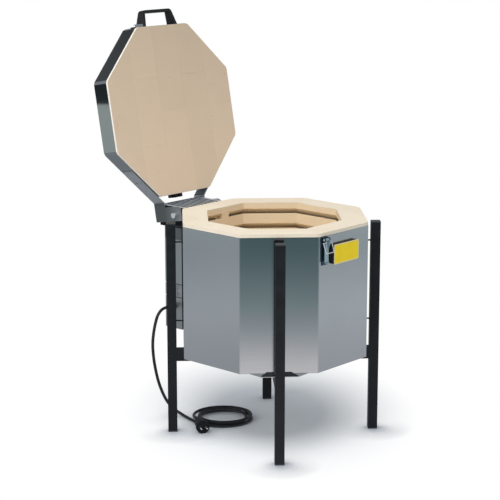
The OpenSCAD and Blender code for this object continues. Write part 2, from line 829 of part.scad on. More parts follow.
module box_back() {
    color("#8f9699") on_face(hinge_face) difference() {
        union() {
            translate([-flange_half, box_in, box_z + box_t + 0.2])
                cube([2 * flange_half, box_t, box_top - box_z - 2 * box_t - 0.4]);
            for (x = [-flange_half, flange_half - box_t])
                translate([x, box_in, box_z + box_t + 0.2])
                    cube([box_t, box_flange, box_top - box_z - 2 * box_t - 0.4]);
        }
        rotate([0, 0, -step * hinge_face]) terminal_holes(0.5, box_in - 1, box_in + box_t + 1);
    }
}

module box_spacers() {
    color("#d8d2c4") on_face(hinge_face)
        for (x = [-0.8, 0.8], z = [box_z + 26, box_top - 22])
            rod_y(x * box_half, z, box_spacer_dia / 2, half_af, box_in);
}

// Sheet sleeve of the box, open towards the back plate, with its lower or upper end closed
module box_sleeve(z, h, closed_low, closed_high) {
    low = closed_low ? box_t : -1;
    high = closed_high ? h - box_t : h + 1;
    difference() {
        translate([-box_half, box_in, z]) cube([2 * box_half, box_depth, h]);
        translate([box_t - box_half, box_in - 1, z + low]) cube([2 * (box_half - box_t), box_depth - box_t + 1, high - low]);
    }
}

module box_tray() {
    color("#8f9699") on_face(hinge_face) difference() {
        box_sleeve(box_z, tray_h, true, false);
        rod_x(gland_o, gland_z, cord_r + 3, -box_half - 1, -box_half + box_t + 1);
    }
}

// Panel with a grid of vent holes in its two sides
module box_vent() {
    first_y = box_out - box_depth / 2 - (hole_cols - 1) * hole_pitch / 2;
    first_z = vent_z + vent_h / 2 - (hole_rows - 1) * hole_pitch / 2;
    color("#969da0") on_face(hinge_face) difference() {
        box_sleeve(vent_z, vent_h, false, false);
        for (i = [0:hole_cols - 1], k = [0:hole_rows - 1])
            translate([-box_half - 1, first_y + i * hole_pitch - hole_w / 2, first_z + k * hole_pitch - hole_h / 2])
                cube([2 * box_half + 2, hole_w, hole_h]);
    }
}

module box_cover() {
    color("#969da0") on_face(hinge_face) difference() {
        box_sleeve(cover_z, cover_h, false, false);
        rod_y(0, knob_z, shaft_dia / 2 + 0.2, box_out - 2 * box_t, box_out + 1);
        rod_y(lamp_x, knob_z, lamp_dia / 2 + 0.1, box_out - 2 * box_t, box_out + 1);
    }
}

module box_hood() {
    color("#8f9699") on_face(hinge_face) box_sleeve(hood_z, hood_h, false, true);
}

module contactor() {
    base = box_in + box_t;
    color("#3c4246") on_face(hinge_face) difference() {
        union() {
            translate([22, base, box_z + 24]) cube([46, 46, 62]);
            translate([26, base + 46, box_z + 36]) cube([38, 10, 38]);
        }
        for (k = [0:2], z = [box_z + 22, box_z + 76])
            translate([28 + k * 13, base + 30, z]) cube([8, 17, 12]);
    }
}

module terminal_block() {
    base = box_in + box_t;
    color("#e9e4d8") on_face(hinge_face) difference() {
        translate([-76, base, box_z + 26]) cube([66, 22, 20]);
        for (k = [0:4]) {
            rod_y(-69.8 + k * 13, box_z + 36, 3, base + 10, base + 23);
            translate([-71.8 + k * 13, base + 6, box_z + 25]) cube([4, 6, 22]);
        }
    }
}

module regulator() {
    inside = box_out - box_t;
    color("#d8d3c6") on_face(hinge_face) {
        translate([-20, inside - 32, knob_z - 22]) cube([40, 32, 44]);
        rod_y(0, knob_z, shaft_dia / 2, inside - 1, box_out + knob_l - 3);
    }
}

// Fluted knob with a raised pointer, turning on the regulator's shaft
module regulator_knob() {
    from = box_out + 0.6;
    flutes = 12;
    color("#1d2022") on_face(hinge_face) difference() {
        union() {
            rod_y(0, knob_z, knob_dia / 2, from, from + knob_l);
            translate([-1.5, from + knob_l - 1, knob_z]) cube([3, 2, knob_dia / 2 - 2]);
        }
        rod_y(0, knob_z, shaft_dia / 2 + pivot_play, from - 1, box_out + knob_l - 2.6);
        for (k = [0:flutes - 1])
            translate([0, from + 5, knob_z]) rotate([-90, 360 * k / flutes, 0])
                translate([knob_dia / 2 + 1, 0, 0]) cylinder(h = knob_l, r = 3);
    }
}

module pilot_lamp() {
    color("#d8642a") on_face(hinge_face) {
        rod_y(lamp_x, knob_z, lamp_dia / 2, box_out - 18, box_out + 4);
        rod_y(lamp_x, knob_z, lamp_dia / 2 + 2, box_out, box_out + 2);
    }
}

// Gland with a flange on the tray, a cap nut and a bore for the cord
module cable_gland() {
    color("#26292b") on_face(hinge_face) translate([-box_half, gland_o, gland_z]) rotate([0, -90, 0]) difference() {
        union() {
            cylinder(h = 6, d = gland_dia + 4, $fn = 6);
            translate([0, 0, 5]) cylinder(h = gland_len - 11, d = gland_dia);
            translate([0, 0, gland_len - 6]) cylinder(h = 6, d1 = gland_dia, d2 = gland_dia - 6);
            translate([0, 0, -10]) cylinder(h = 11, r = cord_r + 2.8);
        }
        translate([0, 0, -11]) cylinder(h = 11 + gland_len - 4, r = cord_r + 0.1);
        translate([0, 0, gland_len - 5]) cylinder(h = 5 - 3, r = cord_r - 2);
    }
}

// Latch, on its own face: base with two ears, lever between them, wire bail on the lever

module latch_base() {
    low = jacket_top - latch_h - 2;
    ear = [[half_af, lever_z - 6.5], [lever_y, lever_z - 6.5], each arc([lever_y, lever_z], 6.5, -90, 90),
        [half_af, lever_z + 6.5]];
    color("#a9b7bf") on_face(latch_face) translate([latch_x, 0, 0]) difference() {
        union() {
            translate([-latch_w / 2, half_af, low]) cube([latch_w, latch_t, latch_h]);
            for (x = [-ear_in - latch_t, ear_in]) prism_x(ear, x, x + latch_t);
        }
        rod_x(lever_y, lever_z, latch_pin_dia / 2, -latch_w, latch_w);
    }
}

module latch_pin() {
    end = ear_in + latch_t;
    color("#c9cfd3") on_face(latch_face) translate([latch_x, 0, 0]) {
        rod_x(lever_y, lever_z, latch_pin_dia / 2, -end - 0.8, end + 0.8);
        rod_x(lever_y, lever_z, latch_pin_dia / 2 + 1, end, end + 1);
    }
}

// Lever: a knuckle on the pin, two cheeks that carry the bail, a plate and a curled finger end
module latch_lever() {
    plate_y = lever_y - 1;
    foot_z = lever_z - lever_len;
    cheek = [[plate_y, lever_z - 30], [plate_y + latch_t, lever_z - 30], [bail_y + 3, bail_z - 4],
        [bail_y + 3.2, bail_z + 1], [lever_y + 3, lever_z + 3], [lever_y - 3, lever_z + 3], [plate_y, lever_z - 6]];
    finger = [[plate_y, foot_z + 8], each arc([plate_y + 8, foot_z + 8], 8, 180, 250),
        each arc([plate_y + 8, foot_z + 8], 8 - latch_t, 250, 180), [plate_y + latch_t, foot_z + 8]];
    color("#a9b7bf") on_face(latch_face) translate([latch_x, 0, 0]) difference() {
        union() {
            rod_x(lever_y, lever_z, latch_pin_dia / 2 + 2, -lever_half, lever_half);
            for (x = [-lever_half, lever_half - latch_t]) prism_x(cheek, x, x + latch_t);
            translate([-lever_half, plate_y, foot_z + 8]) cube([lever_w, latch_t, lever_len - 16]);
            prism_x(finger, -lever_half, lever_half);
        }
        rod_x(lever_y, lever_z, latch_pin_dia / 2 + pivot_play, -lever_w, lever_w);
        rod_x(bail_y, bail_z, wire_r + pivot_play, -lever_w, lever_w);
    }
}

// Bail: a wire bow whose two inturned ends sit in the lever's cheeks
module latch_bail() {
    turn = wire_dia * 1.6;
    half = bail_w / 2;
    color("#dfe4e6") on_face(latch_face) translate([latch_x, bail_y, bail_z]) rotate([bail_hang, 0, 0])
        for (side = [0, 1]) mirror([side, 0, 0]) {
            rod_x(0, 0, wire_r, lever_half - latch_t + 0.2, half);
            translate([half, 0, 0]) sphere(r = wire_r);
            translate([half, 0, turn - bail_len]) cylinder(h = bail_len - turn, r = wire_r);
            translate([half - turn, 0, turn - bail_len]) rotate([90, 0, 0]) rotate([0, 0, -90])
                rotate_extrude(angle = 90) translate([turn, 0]) circle(r = wire_r);
            rod_x(0, -bail_len, wire_r, -eps, half - turn);
        }
}

// Block beside the latch that carries a bare plate
module plate_block() {
    w = block_w / 2 - block_r;
    h = block_h / 2 - block_r;
    outline = [each arc([w, h], block_r, 0, 90, 4), each arc([-w, h], block_r, 90, 180, 4),
        each arc([-w, -h], block_r, 180, 270, 4), each arc([w, -h], block_r, 270, 360, 4)];
    color("#17191a") on_face(latch_face) translate([block_x, half_af, jacket_top - block_drop])
        rotate([-90, 0, 0]) linear_extrude(block_d) polygon(outline);
}

// Lid, drawn closed and then set open

module lid_bricks() {
    color("#d8c4a2") on_lid() difference() {
        translate([0, 0, lid_z]) brick_slab(lid_af, lid_t, corner_r);
        handle_rods(handle_screw_dia + 0.5, lid_af / 2 - screw_head - 1, lid_af / 2 + 1);
    }
}

// Cylinders on the axes of the two handle screws, from y0 to y1 out from the lid's middle
module handle_rods(r, y0, y1) {
    x = handle_half - 0.68 * handle_leg;
    rotate([0, 0, 180]) for (side = [-1, 1]) rod_y(side * x, band_low + handle_w / 2, r, y0, y1);
}

// Band round the lid
module lid_band() {
    color("#858c90") on_lid() difference() {
        translate([0, 0, band_low]) octagon_block(band_af, band_h, corner_r + band_t);
        translate([0, 0, band_low - 1]) octagon_block(lid_af + 0.02, band_h + 2, corner_r);
        handle_rods(handle_screw_dia / 2 + 0.1, lid_af / 2 - 1, band_af / 2 + 1);
    }
}

// Two lugs at the hinge side that clamp the band
module band_lugs() {
    lug_z = band_low + lug_margin;
    color("#202425") on_lid() translate([lug_x, 0, 0]) difference() {
        for (side = [0, 1]) mirror([side, 0, 0])
            translate([lug_gap / 2, band_af / 2, lug_z]) cube([lug_w, lug_reach, band_h - 2 * lug_margin]);
        rod_x(band_af / 2 + lug_reach / 2, band_low + band_h / 2, lug_screw_dia / 2 + 0.1, -lug_w * 2, lug_w * 2);
    }
}

module band_screw() {
    y = band_af / 2 + lug_reach / 2;
    z = band_low + band_h / 2;
    end = lug_gap / 2 + lug_w;
    color("#c9cdcf") on_lid() translate([lug_x, 0, 0]) {
        rod_x(y, z, lug_screw_dia / 2, -end - 5, end);
        rod_x(y, z, lug_screw_dia * 0.85, end, end + 3);
        translate([-end - 4, y, z]) rotate([0, 90, 0]) cylinder(h = 4, r = lug_screw_dia * 0.9, $fn = 6);
    }
}

module lid_top_sheet() {
    color("#8d9498") on_lid() translate([0, 0, lid_top]) octagon_block(band_af, band_t, corner_r + band_t);
}

// Arm: a strap along the lid's oblique face that bends square to the hinge and carries the pivot
module lid_arm(side) {
    line = band_af / 2 * sqrt(2);
    thick = arm_t * sqrt(2);
    start = line - arm_in - strap_len * sqrt(0.5);
    past = hinge_o + arm_past;
    plan = [[arm_in, line - arm_in], [arm_in, past], [arm_in + arm_t, past],
        [arm_in + arm_t, line + thick - arm_in - arm_t],
        [line - start + thick / 2, start + thick / 2], [line - start, start]];
    plate = [[line - arm_in, strap_z], [line - arm_in, arm_top], [past, arm_top], [past, hinge_z - arm_low],
        each arc([hinge_o - arm_front + plate_r, hinge_z - arm_low + plate_r], plate_r, 270, 180),
        [hinge_o - arm_front, strap_z]];
    color("#80878b") on_lid() mirror([side, 0, 0]) difference() {
        union() {
            translate([0, 0, strap_z]) linear_extrude(strap_h) polygon(plan);
            prism_x(plate, arm_in, arm_in + arm_t);
        }
        rod_x(hinge_o, hinge_z, pivot_dia / 2 + pivot_play, arm_in - 1, arm_in + arm_t + 1);
    }
}

// Screws that hold the two straps on the band
module arm_screws() {
    line = band_af / 2 + arm_t;
    color("#c9cdcf") on_lid() for (turn = [-step, step]) rotate([0, 0, turn])
        for (x = [-15, 35], z = [0.28, 0.72])
            rod_y(turn > 0 ? x : -x, strap_z + z * strap_h, 4, line, line + 1.5);
}

// Bow handle: a rounded bow outline that narrows from its base to its grip
module lid_handle() {
    base = band_af / 2;
    end = base + handle_reach;
    lean = atan((handle_half - grip_half) / handle_reach);
    inner = handle_leg / cos(lean);
    grip_in = end - grip_t;
    slope = (handle_half - grip_half) / handle_reach;
    mid_z = band_low + handle_w / 2;
    outer_x = grip_half - grip_r * tan(45 - lean / 2);
    outer = [[-handle_half, base], [handle_half, base],
        each arc([outer_x, end - grip_r], grip_r, lean, 90),
        each arc([-outer_x, end - grip_r], grip_r, 90, 180 - lean)];
    gap_low = handle_half - inner + slope;
    gap_high = handle_half - inner - slope * (grip_in - base);
    color("#15181a") on_lid() difference() {
        rotate([0, 0, 180]) intersection() {
            translate([0, 0, band_low]) linear_extrude(handle_w) difference() {
                polygon(outer);
                polygon([[-gap_low, base - 1], [gap_low, base - 1], [gap_high, grip_in], [-gap_high, grip_in]]);
            }
            prism_x([[base, mid_z - handle_w / 2], [end, mid_z - grip_w / 2], [end, mid_z + grip_w / 2],
                [base, mid_z + handle_w / 2]], -handle_half, handle_half);
        }
        handle_rods(handle_screw_dia / 2 + 0.05, base - 1, base + screw_bite + 0.3);
    }
}

// Screws from inside the band into the handle's feet
module handle_screws() {
    color("#c9cdcf") on_lid() {
        handle_rods(handle_screw_dia / 2, lid_af / 2 - 1, band_af / 2 + screw_bite);
        handle_rods(handle_screw_dia, lid_af / 2 - screw_head, lid_af / 2);
    }
}

// Strike: a plate on the band with a hook whose lip points up, over the latch
module lid_strike() {
    base = band_af / 2;
    low = band_low + 2;
    outline = [[base, low], [base + strike_reach, low], [base + strike_reach, low + strike_lip + latch_t],
        [base + strike_reach - latch_t, low + strike_lip + latch_t], [base + strike_reach - latch_t, low + latch_t],
        [base + latch_t, low + latch_t], [base + latch_t, low + strike_h], [base, low + strike_h]];
    color("#8c9599") on_lid() rotate([0, 0, 180])
        prism_x(outline, latch_x - strike_w / 2, latch_x + strike_w / 2);
}

// Cord

function coil_points() = concat(
    [for (a = [coil_from:coil_step:coil_to]) coil_at(a)],
    [coil_at(coil_to) + [1, -18, 1.5], coil_at(coil_to) + [3, -33, 3.5],
        plug_entry - cord_dia * plug_way, plug_entry]);

module cord_lead() {
    route = smooth(lead_route, 2);
    echo("length of the free stretch", route_length(smooth(lead_route, 6)));
    color("#1c1f20") tube(route, [for (p = route) cord_r], 10);
}

module cord_coil() {
    points = concat([coil_at(coil_from), coil_at(coil_from) + 2 * coil_way(coil_from)],
        [for (i = [1:len(coil_points()) - 1]) coil_points()[i]]);
    echo("length of the coil", route_length(points));
    echo("least gap of the coil to itself", least_gap(points, 8) - cord_dia);
    color("#1c1f20") tube(points, [for (p = points) cord_r], 6, 30);
}

// Places its children with z along the plug, from where the cord enters
module on_plug() {
    translate(plug_entry) rotate([0, 90, atan2(plug_way[1], plug_way[0])]) children();
}

module plug_body() {
    r = plug_dia / 2;
    body_end = relief_len + plug_len;
    neck = cord_r + 4;
    color("#17191a") on_plug() difference() {
        rotate_extrude() polygon([[0, 0], [cord_r + 1, 0], [neck, relief_len], [r - 6, relief_len + 6],
            [r - 4, body_end - 16], [r, body_end - 12], [r, body_end], [0, body_end]]);
        for (side = [-1, 1])
            translate([side * (r + 1) - 2.5, -4, body_end - 17]) cube([5, 8, 18]);
    }
}

module plug_pins() {
    body_end = relief_len + plug_len;
    color("#c8ccce") on_plug() for (side = [-1, 1])
        translate([0, side * pin_pitch / 2, body_end]) {
            cylinder(h = pin_len - 1, d = pin_dia);
            translate([0, 0, pin_len - 1]) cylinder(h = 1, d1 = pin_dia, d2 = pin_dia - 2);
        }
}

leg(front_face);  // leg_front
leg(right_face);  // leg_right
leg(0);  // leg_back
leg(left_face);  // leg_left
leg_caps();
leg_feet();
rail_across();
rail_half(front_face);  // rail_front
rail_half(0);  // rail_back
leg_flanges();
leg_standoffs();
base_plate();
jacket();
fibre_blanket();
floor_board();
floor_bricks();
course(0);  // lower_course
course(1);  // middle_course
rim_course();
heating_elements();
terminal_bushings();
thermocouple();
hinge_bracket();
hinge_bolts();
box_back();
box_spacers();
box_tray();
box_vent();
box_cover();
box_hood();
contactor();
terminal_block();
regulator();
regulator_knob();
pilot_lamp();
cable_gland();
latch_base();
latch_pin();
latch_lever();
latch_bail();
plate_block();
lid_bricks();
lid_band();
band_lugs();
band_screw();
lid_top_sheet();
lid_arm(1);  // lid_arm_left
lid_arm(0);  // lid_arm_right
arm_screws();
lid_handle();
handle_screws();
lid_strike();
cord_lead();
cord_coil();
plug_body();
plug_pins();
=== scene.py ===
"""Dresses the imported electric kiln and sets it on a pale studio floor.

The frame brings every solid of the part in metres. This script gives each of them a procedural finish and adds
the mains cord and the wound heating elements, which solids only stand in for, and the bare plate on its block.
"""

from __future__ import annotations

import logging
import math
from abc import ABC, abstractmethod
from dataclasses import dataclass, replace
from enum import Enum
from typing import Any

import bpy
import numpy as np
import numpy.typing as npt
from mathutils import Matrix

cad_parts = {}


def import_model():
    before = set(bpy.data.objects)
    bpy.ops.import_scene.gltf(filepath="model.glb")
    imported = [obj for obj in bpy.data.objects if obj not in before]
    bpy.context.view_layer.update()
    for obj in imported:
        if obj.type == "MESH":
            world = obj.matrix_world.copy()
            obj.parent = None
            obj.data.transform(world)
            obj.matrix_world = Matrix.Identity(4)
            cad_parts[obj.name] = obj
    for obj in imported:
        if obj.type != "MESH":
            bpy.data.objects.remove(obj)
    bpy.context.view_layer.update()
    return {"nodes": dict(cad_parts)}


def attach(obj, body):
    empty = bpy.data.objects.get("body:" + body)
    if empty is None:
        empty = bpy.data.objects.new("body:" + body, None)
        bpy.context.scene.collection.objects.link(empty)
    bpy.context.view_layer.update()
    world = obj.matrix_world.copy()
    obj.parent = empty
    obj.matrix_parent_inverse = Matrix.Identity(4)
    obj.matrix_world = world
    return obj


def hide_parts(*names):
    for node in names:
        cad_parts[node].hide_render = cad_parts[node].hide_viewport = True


LOG = logging.getLogger("kiln")
Array = npt.NDArray[np.float64]
Index = npt.NDArray[np.int64]
Rgb = tuple[float, float, float]
Xyz = tuple[float, float, float]
MM = 0.001
FACES = 8
STEP = 2 * math.pi / FACES
HALF_ROOT = math.sqrt(0.5)


class Body(str, Enum):
    """Bodies of the part that the pieces made here ride on."""

    FRAME = "frame"


class Face(int, Enum):
    """Faces of the octagon that carry the pieces made here, counted from the back face."""

    HINGE = 1
    LATCH = 5


# Mesh tools


def unit(v: Array) -> Array:
    """Scales each row of an array of vectors to length one."""
    return v / np.linalg.norm(v, axis=-1, keepdims=True)


def tangents(path: Array) -> Array:
    """Unit directions along a path, by central differences."""
    return unit(np.gradient(path, axis=0))


def path_length(path: Array) -> float:
    """Sum of the straight steps between a path's points."""
    return float(np.linalg.norm(np.diff(path, axis=0), axis=1).sum())


def on_face(face: int, points: Array) -> Array:
    """Turns points drawn on a face (x along it, y out, z up) about the upright axis.

    Args:
        face: The face's number, counted from the back face.
        points: Any array whose last axis holds x, y, z.

    Returns:
        The points in the row frame.
    """
    c, s = math.cos(STEP * face), math.sin(STEP * face)
    turn = np.array([[c, s, 0.0], [-s, c, 0.0], [0.0, 0.0, 1.0]])
    return points @ turn


def grid_quads(rows: int, cols: int, close_rows: bool = False, close_cols: bool = False) -> Index:
    """Corner numbers of the quads of a grid of points.

    Args:
        rows: Number of points along the first parameter.
        cols: Number of points along the second parameter.
        close_rows: Whether the last row joins the first.
        close_cols: Whether the last column joins the first.

    Returns:
        An array with four point numbers a quad.
    """
    i = np.arange(rows if close_rows else rows - 1)[:, None]
    j = np.arange(cols if close_cols else cols - 1)[None, :]
    i2, j2 = (i + 1) % rows, (j + 1) % cols
    corners = [i * cols + j, i2 * cols + j, i2 * cols + j2, i * cols + j2]
    return np.stack([np.broadcast_to(c, (i.size, j.size)) for c in corners], axis=-1).reshape(-1, 4)


def make_object(name: str, points: Array, faces: list[list[int]], smooth: bool = True) -> bpy.types.Object:
    """Makes a mesh object at the origin, its place in its mesh.

    Args:
        name: Name of the object and of its mesh.
        points: Points in the row frame, in metres.
        faces: Point numbers of each face.
        smooth: Whether the faces are shaded smooth.

    Returns:
        The object, linked to the scene.
    """
    mesh = bpy.data.meshes.new(name)
    mesh.from_pydata(points.reshape(-1, 3).tolist(), [], faces)
    mesh.polygons.foreach_set("use_smooth", np.full(len(mesh.polygons), smooth))
    mesh.update()
    made = bpy.data.objects.new(name, mesh)
    bpy.context.scene.collection.objects.link(made)
    return made


def tube_points(path: Array, radius: Array | float, sides: int, side: Array) -> Array:
    """Circle of points round each point of a path: p + r (cos a * n + sin a * b), square to the path.

    Args:
        path: Points along the middle of the tube.
        radius: One radius, or one for each point.
        sides: Points round the tube.
        side: A direction, or one for each point, that the path is never parallel to.

    Returns:
        An array of path points by sides by three.
    """
    along = tangents(path)
    n = unit(np.cross(np.broadcast_to(side, path.shape), along))
    b = np.cross(along, n)
    a = np.linspace(0.0, 2.0 * math.pi, sides, endpoint=False)
    r = np.broadcast_to(np.asarray(radius, dtype=float), (len(path),))[:, None, None]
    ring = np.cos(a)[None, :, None] * n[:, None, :] + np.sin(a)[None, :, None] * b[:, None, :]
    return path[:, None, :] + r * ring


def tube_faces(count: int, sides: int, first: int = 0) -> list[list[int]]:
    """Walls and two end caps of a tube whose points come ring by ring.

    Args:
        count: Number of rings.
        sides: Points in a ring.
        first: Number of the tube's first point.

    Returns:
        Point numbers of each face.
    """
    walls = grid_quads(count, sides, close_cols=True)[:, ::-1] + first
    low = [first + k for k in range(sides)]
    high = [first + (count - 1) * sides + k for k in reversed(range(sides))]
    return [*walls.tolist(), low, high]


def rounded_outline(width: float, height: float, radius: float, corner: int = 8) -> Array:
    """Outline of a rounded rectangle about the origin: four quarter circles joined by straight sides."""
    a = np.linspace(0.0, math.pi / 2, corner)
    quarter = np.stack([np.cos(a), np.sin(a)], axis=-1) * radius
    mid = np.array([width / 2 - radius, height / 2 - radius])
    turns = [np.array([[1.0, 0.0], [0.0, 1.0]]), np.array([[0.0, 1.0], [-1.0, 0.0]])]
    turns += [-turns[0], -turns[1]]
    signs = np.array([[1, 1], [-1, 1], [-1, -1], [1, -1]])
    return np.concatenate([quarter @ t + mid * s for t, s in zip(turns, signs)])


def stacked_outline(outline: Array, levels: list[tuple[float, float]]) -> Array:
    """Copies of an outline at several heights, each drawn in by its own inset towards the middle.

    Args:
        outline: Points of the outline, counter-clockwise.
        levels: Pairs of inset and height, from the bottom up.

    Returns:
        An array of levels by outline points by three.
    """
    ahead = np.roll(outline, -1, axis=0) - np.roll(outline, 1, axis=0)
    inward = unit(np.stack([-ahead[:, 1], ahead[:, 0]], axis=-1))
    flat = np.ones(len(outline))
    return np.stack([np.column_stack([outline + inset * inward, height * flat]) for inset, height in levels])


# Shader tools


class Bench:
    """Builds one node tree: places nodes, sets their values and links their sockets."""

    def __init__(self, tree: bpy.types.NodeTree) -> None:
        """Keeps the tree to be built."""
        self.tree = tree

    def add(self, kind: str, values: dict[str | int, Any] | None = None, **settings: Any) -> bpy.types.Node:
        """Adds a node.

        Args:
            kind: The node's type name.
            values: Default values or sockets to link, by input name or number.
            **settings: Properties of the node itself.

        Returns:
            The node.
        """
        node = self.tree.nodes.new(kind)
        for key, value in settings.items():
            setattr(node, key, value)
        for key, value in (values or {}).items():
            self.feed(node.inputs[key], value)
        return node

    def feed(self, socket: bpy.types.NodeSocket, value: Any) -> None:
        """Links a socket to another, or sets its plain value."""
        if isinstance(value, bpy.types.NodeSocket):
            self.tree.links.new(value, socket)
        elif isinstance(value, tuple) and len(value) == 3 and socket.type == "RGBA":
            socket.default_value = (*value, 1.0)
        else:
            socket.default_value = value

    def math(self, operation: str, a: Any, b: Any = 0.0, clamp: bool = False) -> bpy.types.NodeSocket:
        """Result of a Math node."""
        return self.add("ShaderNodeMath", {0: a, 1: b}, operation=operation, use_clamp=clamp).outputs[0]

    def spread(
        self, value: Any, low: float, high: float, to_low: float = 0.0, to_high: float = 1.0
    ) -> bpy.types.NodeSocket:
        """Value moved from one range to another and held inside it."""
        keys = {"From Min": low, "From Max": high, "To Min": to_low, "To Max": to_high, "Value": value}
        return self.add("ShaderNodeMapRange", keys).outputs["Result"]

    def blend(self, share: Any, a: Any, b: Any) -> bpy.types.NodeSocket:
        """Mix of two colours by a share from 0 to 1."""
        node = self.add("ShaderNodeMix", data_type="RGBA")
        self.feed(node.inputs["Factor"], share)
        colours = [s for s in node.inputs if s.type == "RGBA"]
        self.feed(colours[0], a)
        self.feed(colours[1], b)
        return next(s for s in node.outputs if s.type == "RGBA")

    def noise(self, vector: Any, scale: Any, detail: float, rough: float = 0.5) -> bpy.types.NodeSocket:
        """Grey value of a noise texture."""
        keys = {"Vector": vector, "Scale": scale, "Detail": detail, "Roughness": rough}
        return self.add("ShaderNodeTexNoise", keys).outputs[0]

    def vector(self, operation: str, a: Any, b: Any) -> bpy.types.NodeSocket:
        """Vector that a Vector Math node makes of two others."""
        return self.add("ShaderNodeVectorMath", {0: a, 1: b}, operation=operation).outputs["Vector"]

    def length(self, vector: Any) -> bpy.types.NodeSocket:
        """Length of a vector."""
        return self.add("ShaderNodeVectorMath", {0: vector}, operation="LENGTH").outputs["Value"]

    def place(self) -> bpy.types.NodeSocket:
        """Object coordinates, which are the row frame's metres."""
        return self.add("ShaderNodeTexCoord").outputs["Object"]

    def parts(self) -> Any:
        """X, Y and Z of the object coordinates, by name."""
        return self.add("ShaderNodeSeparateXYZ", {0: self.place()}).outputs

    def hinge_parts(self) -> tuple[bpy.types.NodeSocket, bpy.types.NodeSocket]:
        """Distance along the hinge from the kiln's middle, and distance out through the hinge's face."""
        at = self.parts()
        along = self.math("MULTIPLY", self.math("ADD", at["X"], at["Y"]), HALF_ROOT)
        return along, self.math("MULTIPLY", self.math("SUBTRACT", at["Y"], at["X"]), HALF_ROOT)


class Effect(str, Enum):
    """Shader node groups that several finishes share."""

    PORES = "kiln_pores"
    MOTTLE = "kiln_mottle"
    LINES = "kiln_rolled_lines"
    PEEL = "kiln_paint_peel"


class Effects:
    """Builds each shared shader group once."""

    @staticmethod
    def group(effect: Effect) -> bpy.types.NodeTree:
        """The effect's node group, built at first use."""
        known = bpy.data.node_groups.get(effect.value)
        return known or getattr(Effects, effect.name.lower())()

    @staticmethod
    def shell(effect: Effect, inputs: dict[str, float], outputs: list[str]) -> tuple[Bench, Any, Any]:
        """An empty group with a Vector input, plain number inputs and number outputs.

        Args:
            effect: Which effect it is.
            inputs: Names and default values of its number inputs.
            outputs: Names of its number outputs.

        Returns:
            The bench, the group's input sockets and its output sockets.
        """
        tree = bpy.data.node_groups.new(effect.value, "ShaderNodeTree")
        tree.interface.new_socket(name="Vector", in_out="INPUT", socket_type="NodeSocketVector")
        for name, value in inputs.items():
            made = tree.interface.new_socket(name=name, in_out="INPUT", socket_type="NodeSocketFloat")
            made.default_value = value
        for name in outputs:
            tree.interface.new_socket(name=name, in_out="OUTPUT", socket_type="NodeSocketFloat")
        bench = Bench(tree)
        return bench, bench.add("NodeGroupInput").outputs, bench.add("NodeGroupOutput").inputs

    @staticmethod
    def pores() -> bpy.types.NodeTree:
        """Open pores of insulating brick: pits of two sizes in patches, a few deep holes and a fine sandy grain."""
        b, i, o = Effects.shell(Effect.PORES, {"Scale": 420.0}, ["Pits", "Height"])

        def pit(scale: float, inner: float, outer: float, depth: float = 1.0) -> bpy.types.NodeSocket:
            """Round pits, one a cell, at a share of the group's scale."""
            keys = {"Vector": i["Vector"], "Scale": b.math("MULTIPLY", i["Scale"], scale)}
            distance = b.add("ShaderNodeTexVoronoi", keys).outputs["Distance"]
            return b.spread(distance, inner, outer, depth, 0.0)

        patch = b.spread(b.noise(i["Vector"], 38.0, 2.0, 0.55), 0.52, 0.62)
        common = b.math("MULTIPLY", b.math("MAXIMUM", pit(0.55, 0.05, 0.24), pit(0.16, 0.03, 0.13)), patch)
        pits = b.math("MAXIMUM", common, pit(0.06, 0.035, 0.06, 1.6))
        grain = b.math("MULTIPLY", b.noise(i["Vector"], i["Scale"], 5.0), 0.5)
        b.feed(o["Pits"], pits)
        b.feed(o["Height"], b.math("SUBTRACT", grain, pits))
        return b.tree

    @staticmethod
    def mottle() -> bpy.types.NodeTree:
        """Slow cloudy change of tone, from 0 to 1."""
        b, i, o = Effects.shell(Effect.MOTTLE, {"Scale": 6.0}, ["Value"])
        b.feed(o["Value"], b.spread(b.noise(i["Vector"], i["Scale"], 3.0), 0.32, 0.68))
        return b.tree

    @staticmethod
    def lines() -> bpy.types.NodeTree:
        """Fine rolling lines of sheet metal, drawn out level round the part."""
        b, i, o = Effects.shell(Effect.LINES, {"Scale": 1.0}, ["Value"])
        drawn = b.add("ShaderNodeMapping", {"Vector": i["Vector"], "Scale": (9.0, 9.0, 700.0)}).outputs[0]
        scaled = b.add("ShaderNodeVectorMath", {0: drawn}, operation="SCALE")
        b.feed(scaled.inputs["Scale"], i["Scale"])
        b.feed(o["Value"], b.noise(scaled.outputs[0], 1.0, 3.0, 0.6))
        return b.tree

    @staticmethod
    def peel() -> bpy.types.NodeTree:
        """Slightly pebbled skin of sprayed paint and moulded plastic, with wider worn patches."""
        b, i, o = Effects.shell(Effect.PEEL, {"Scale": 700.0}, ["Height", "Worn"])
        b.feed(o["Height"], b.noise(i["Vector"], i["Scale"], 2.0))
        b.feed(o["Worn"], b.spread(b.noise(i["Vector"], 24.0, 6.0, 0.7), 0.45, 0.75))
        return b.tree


# Finishes


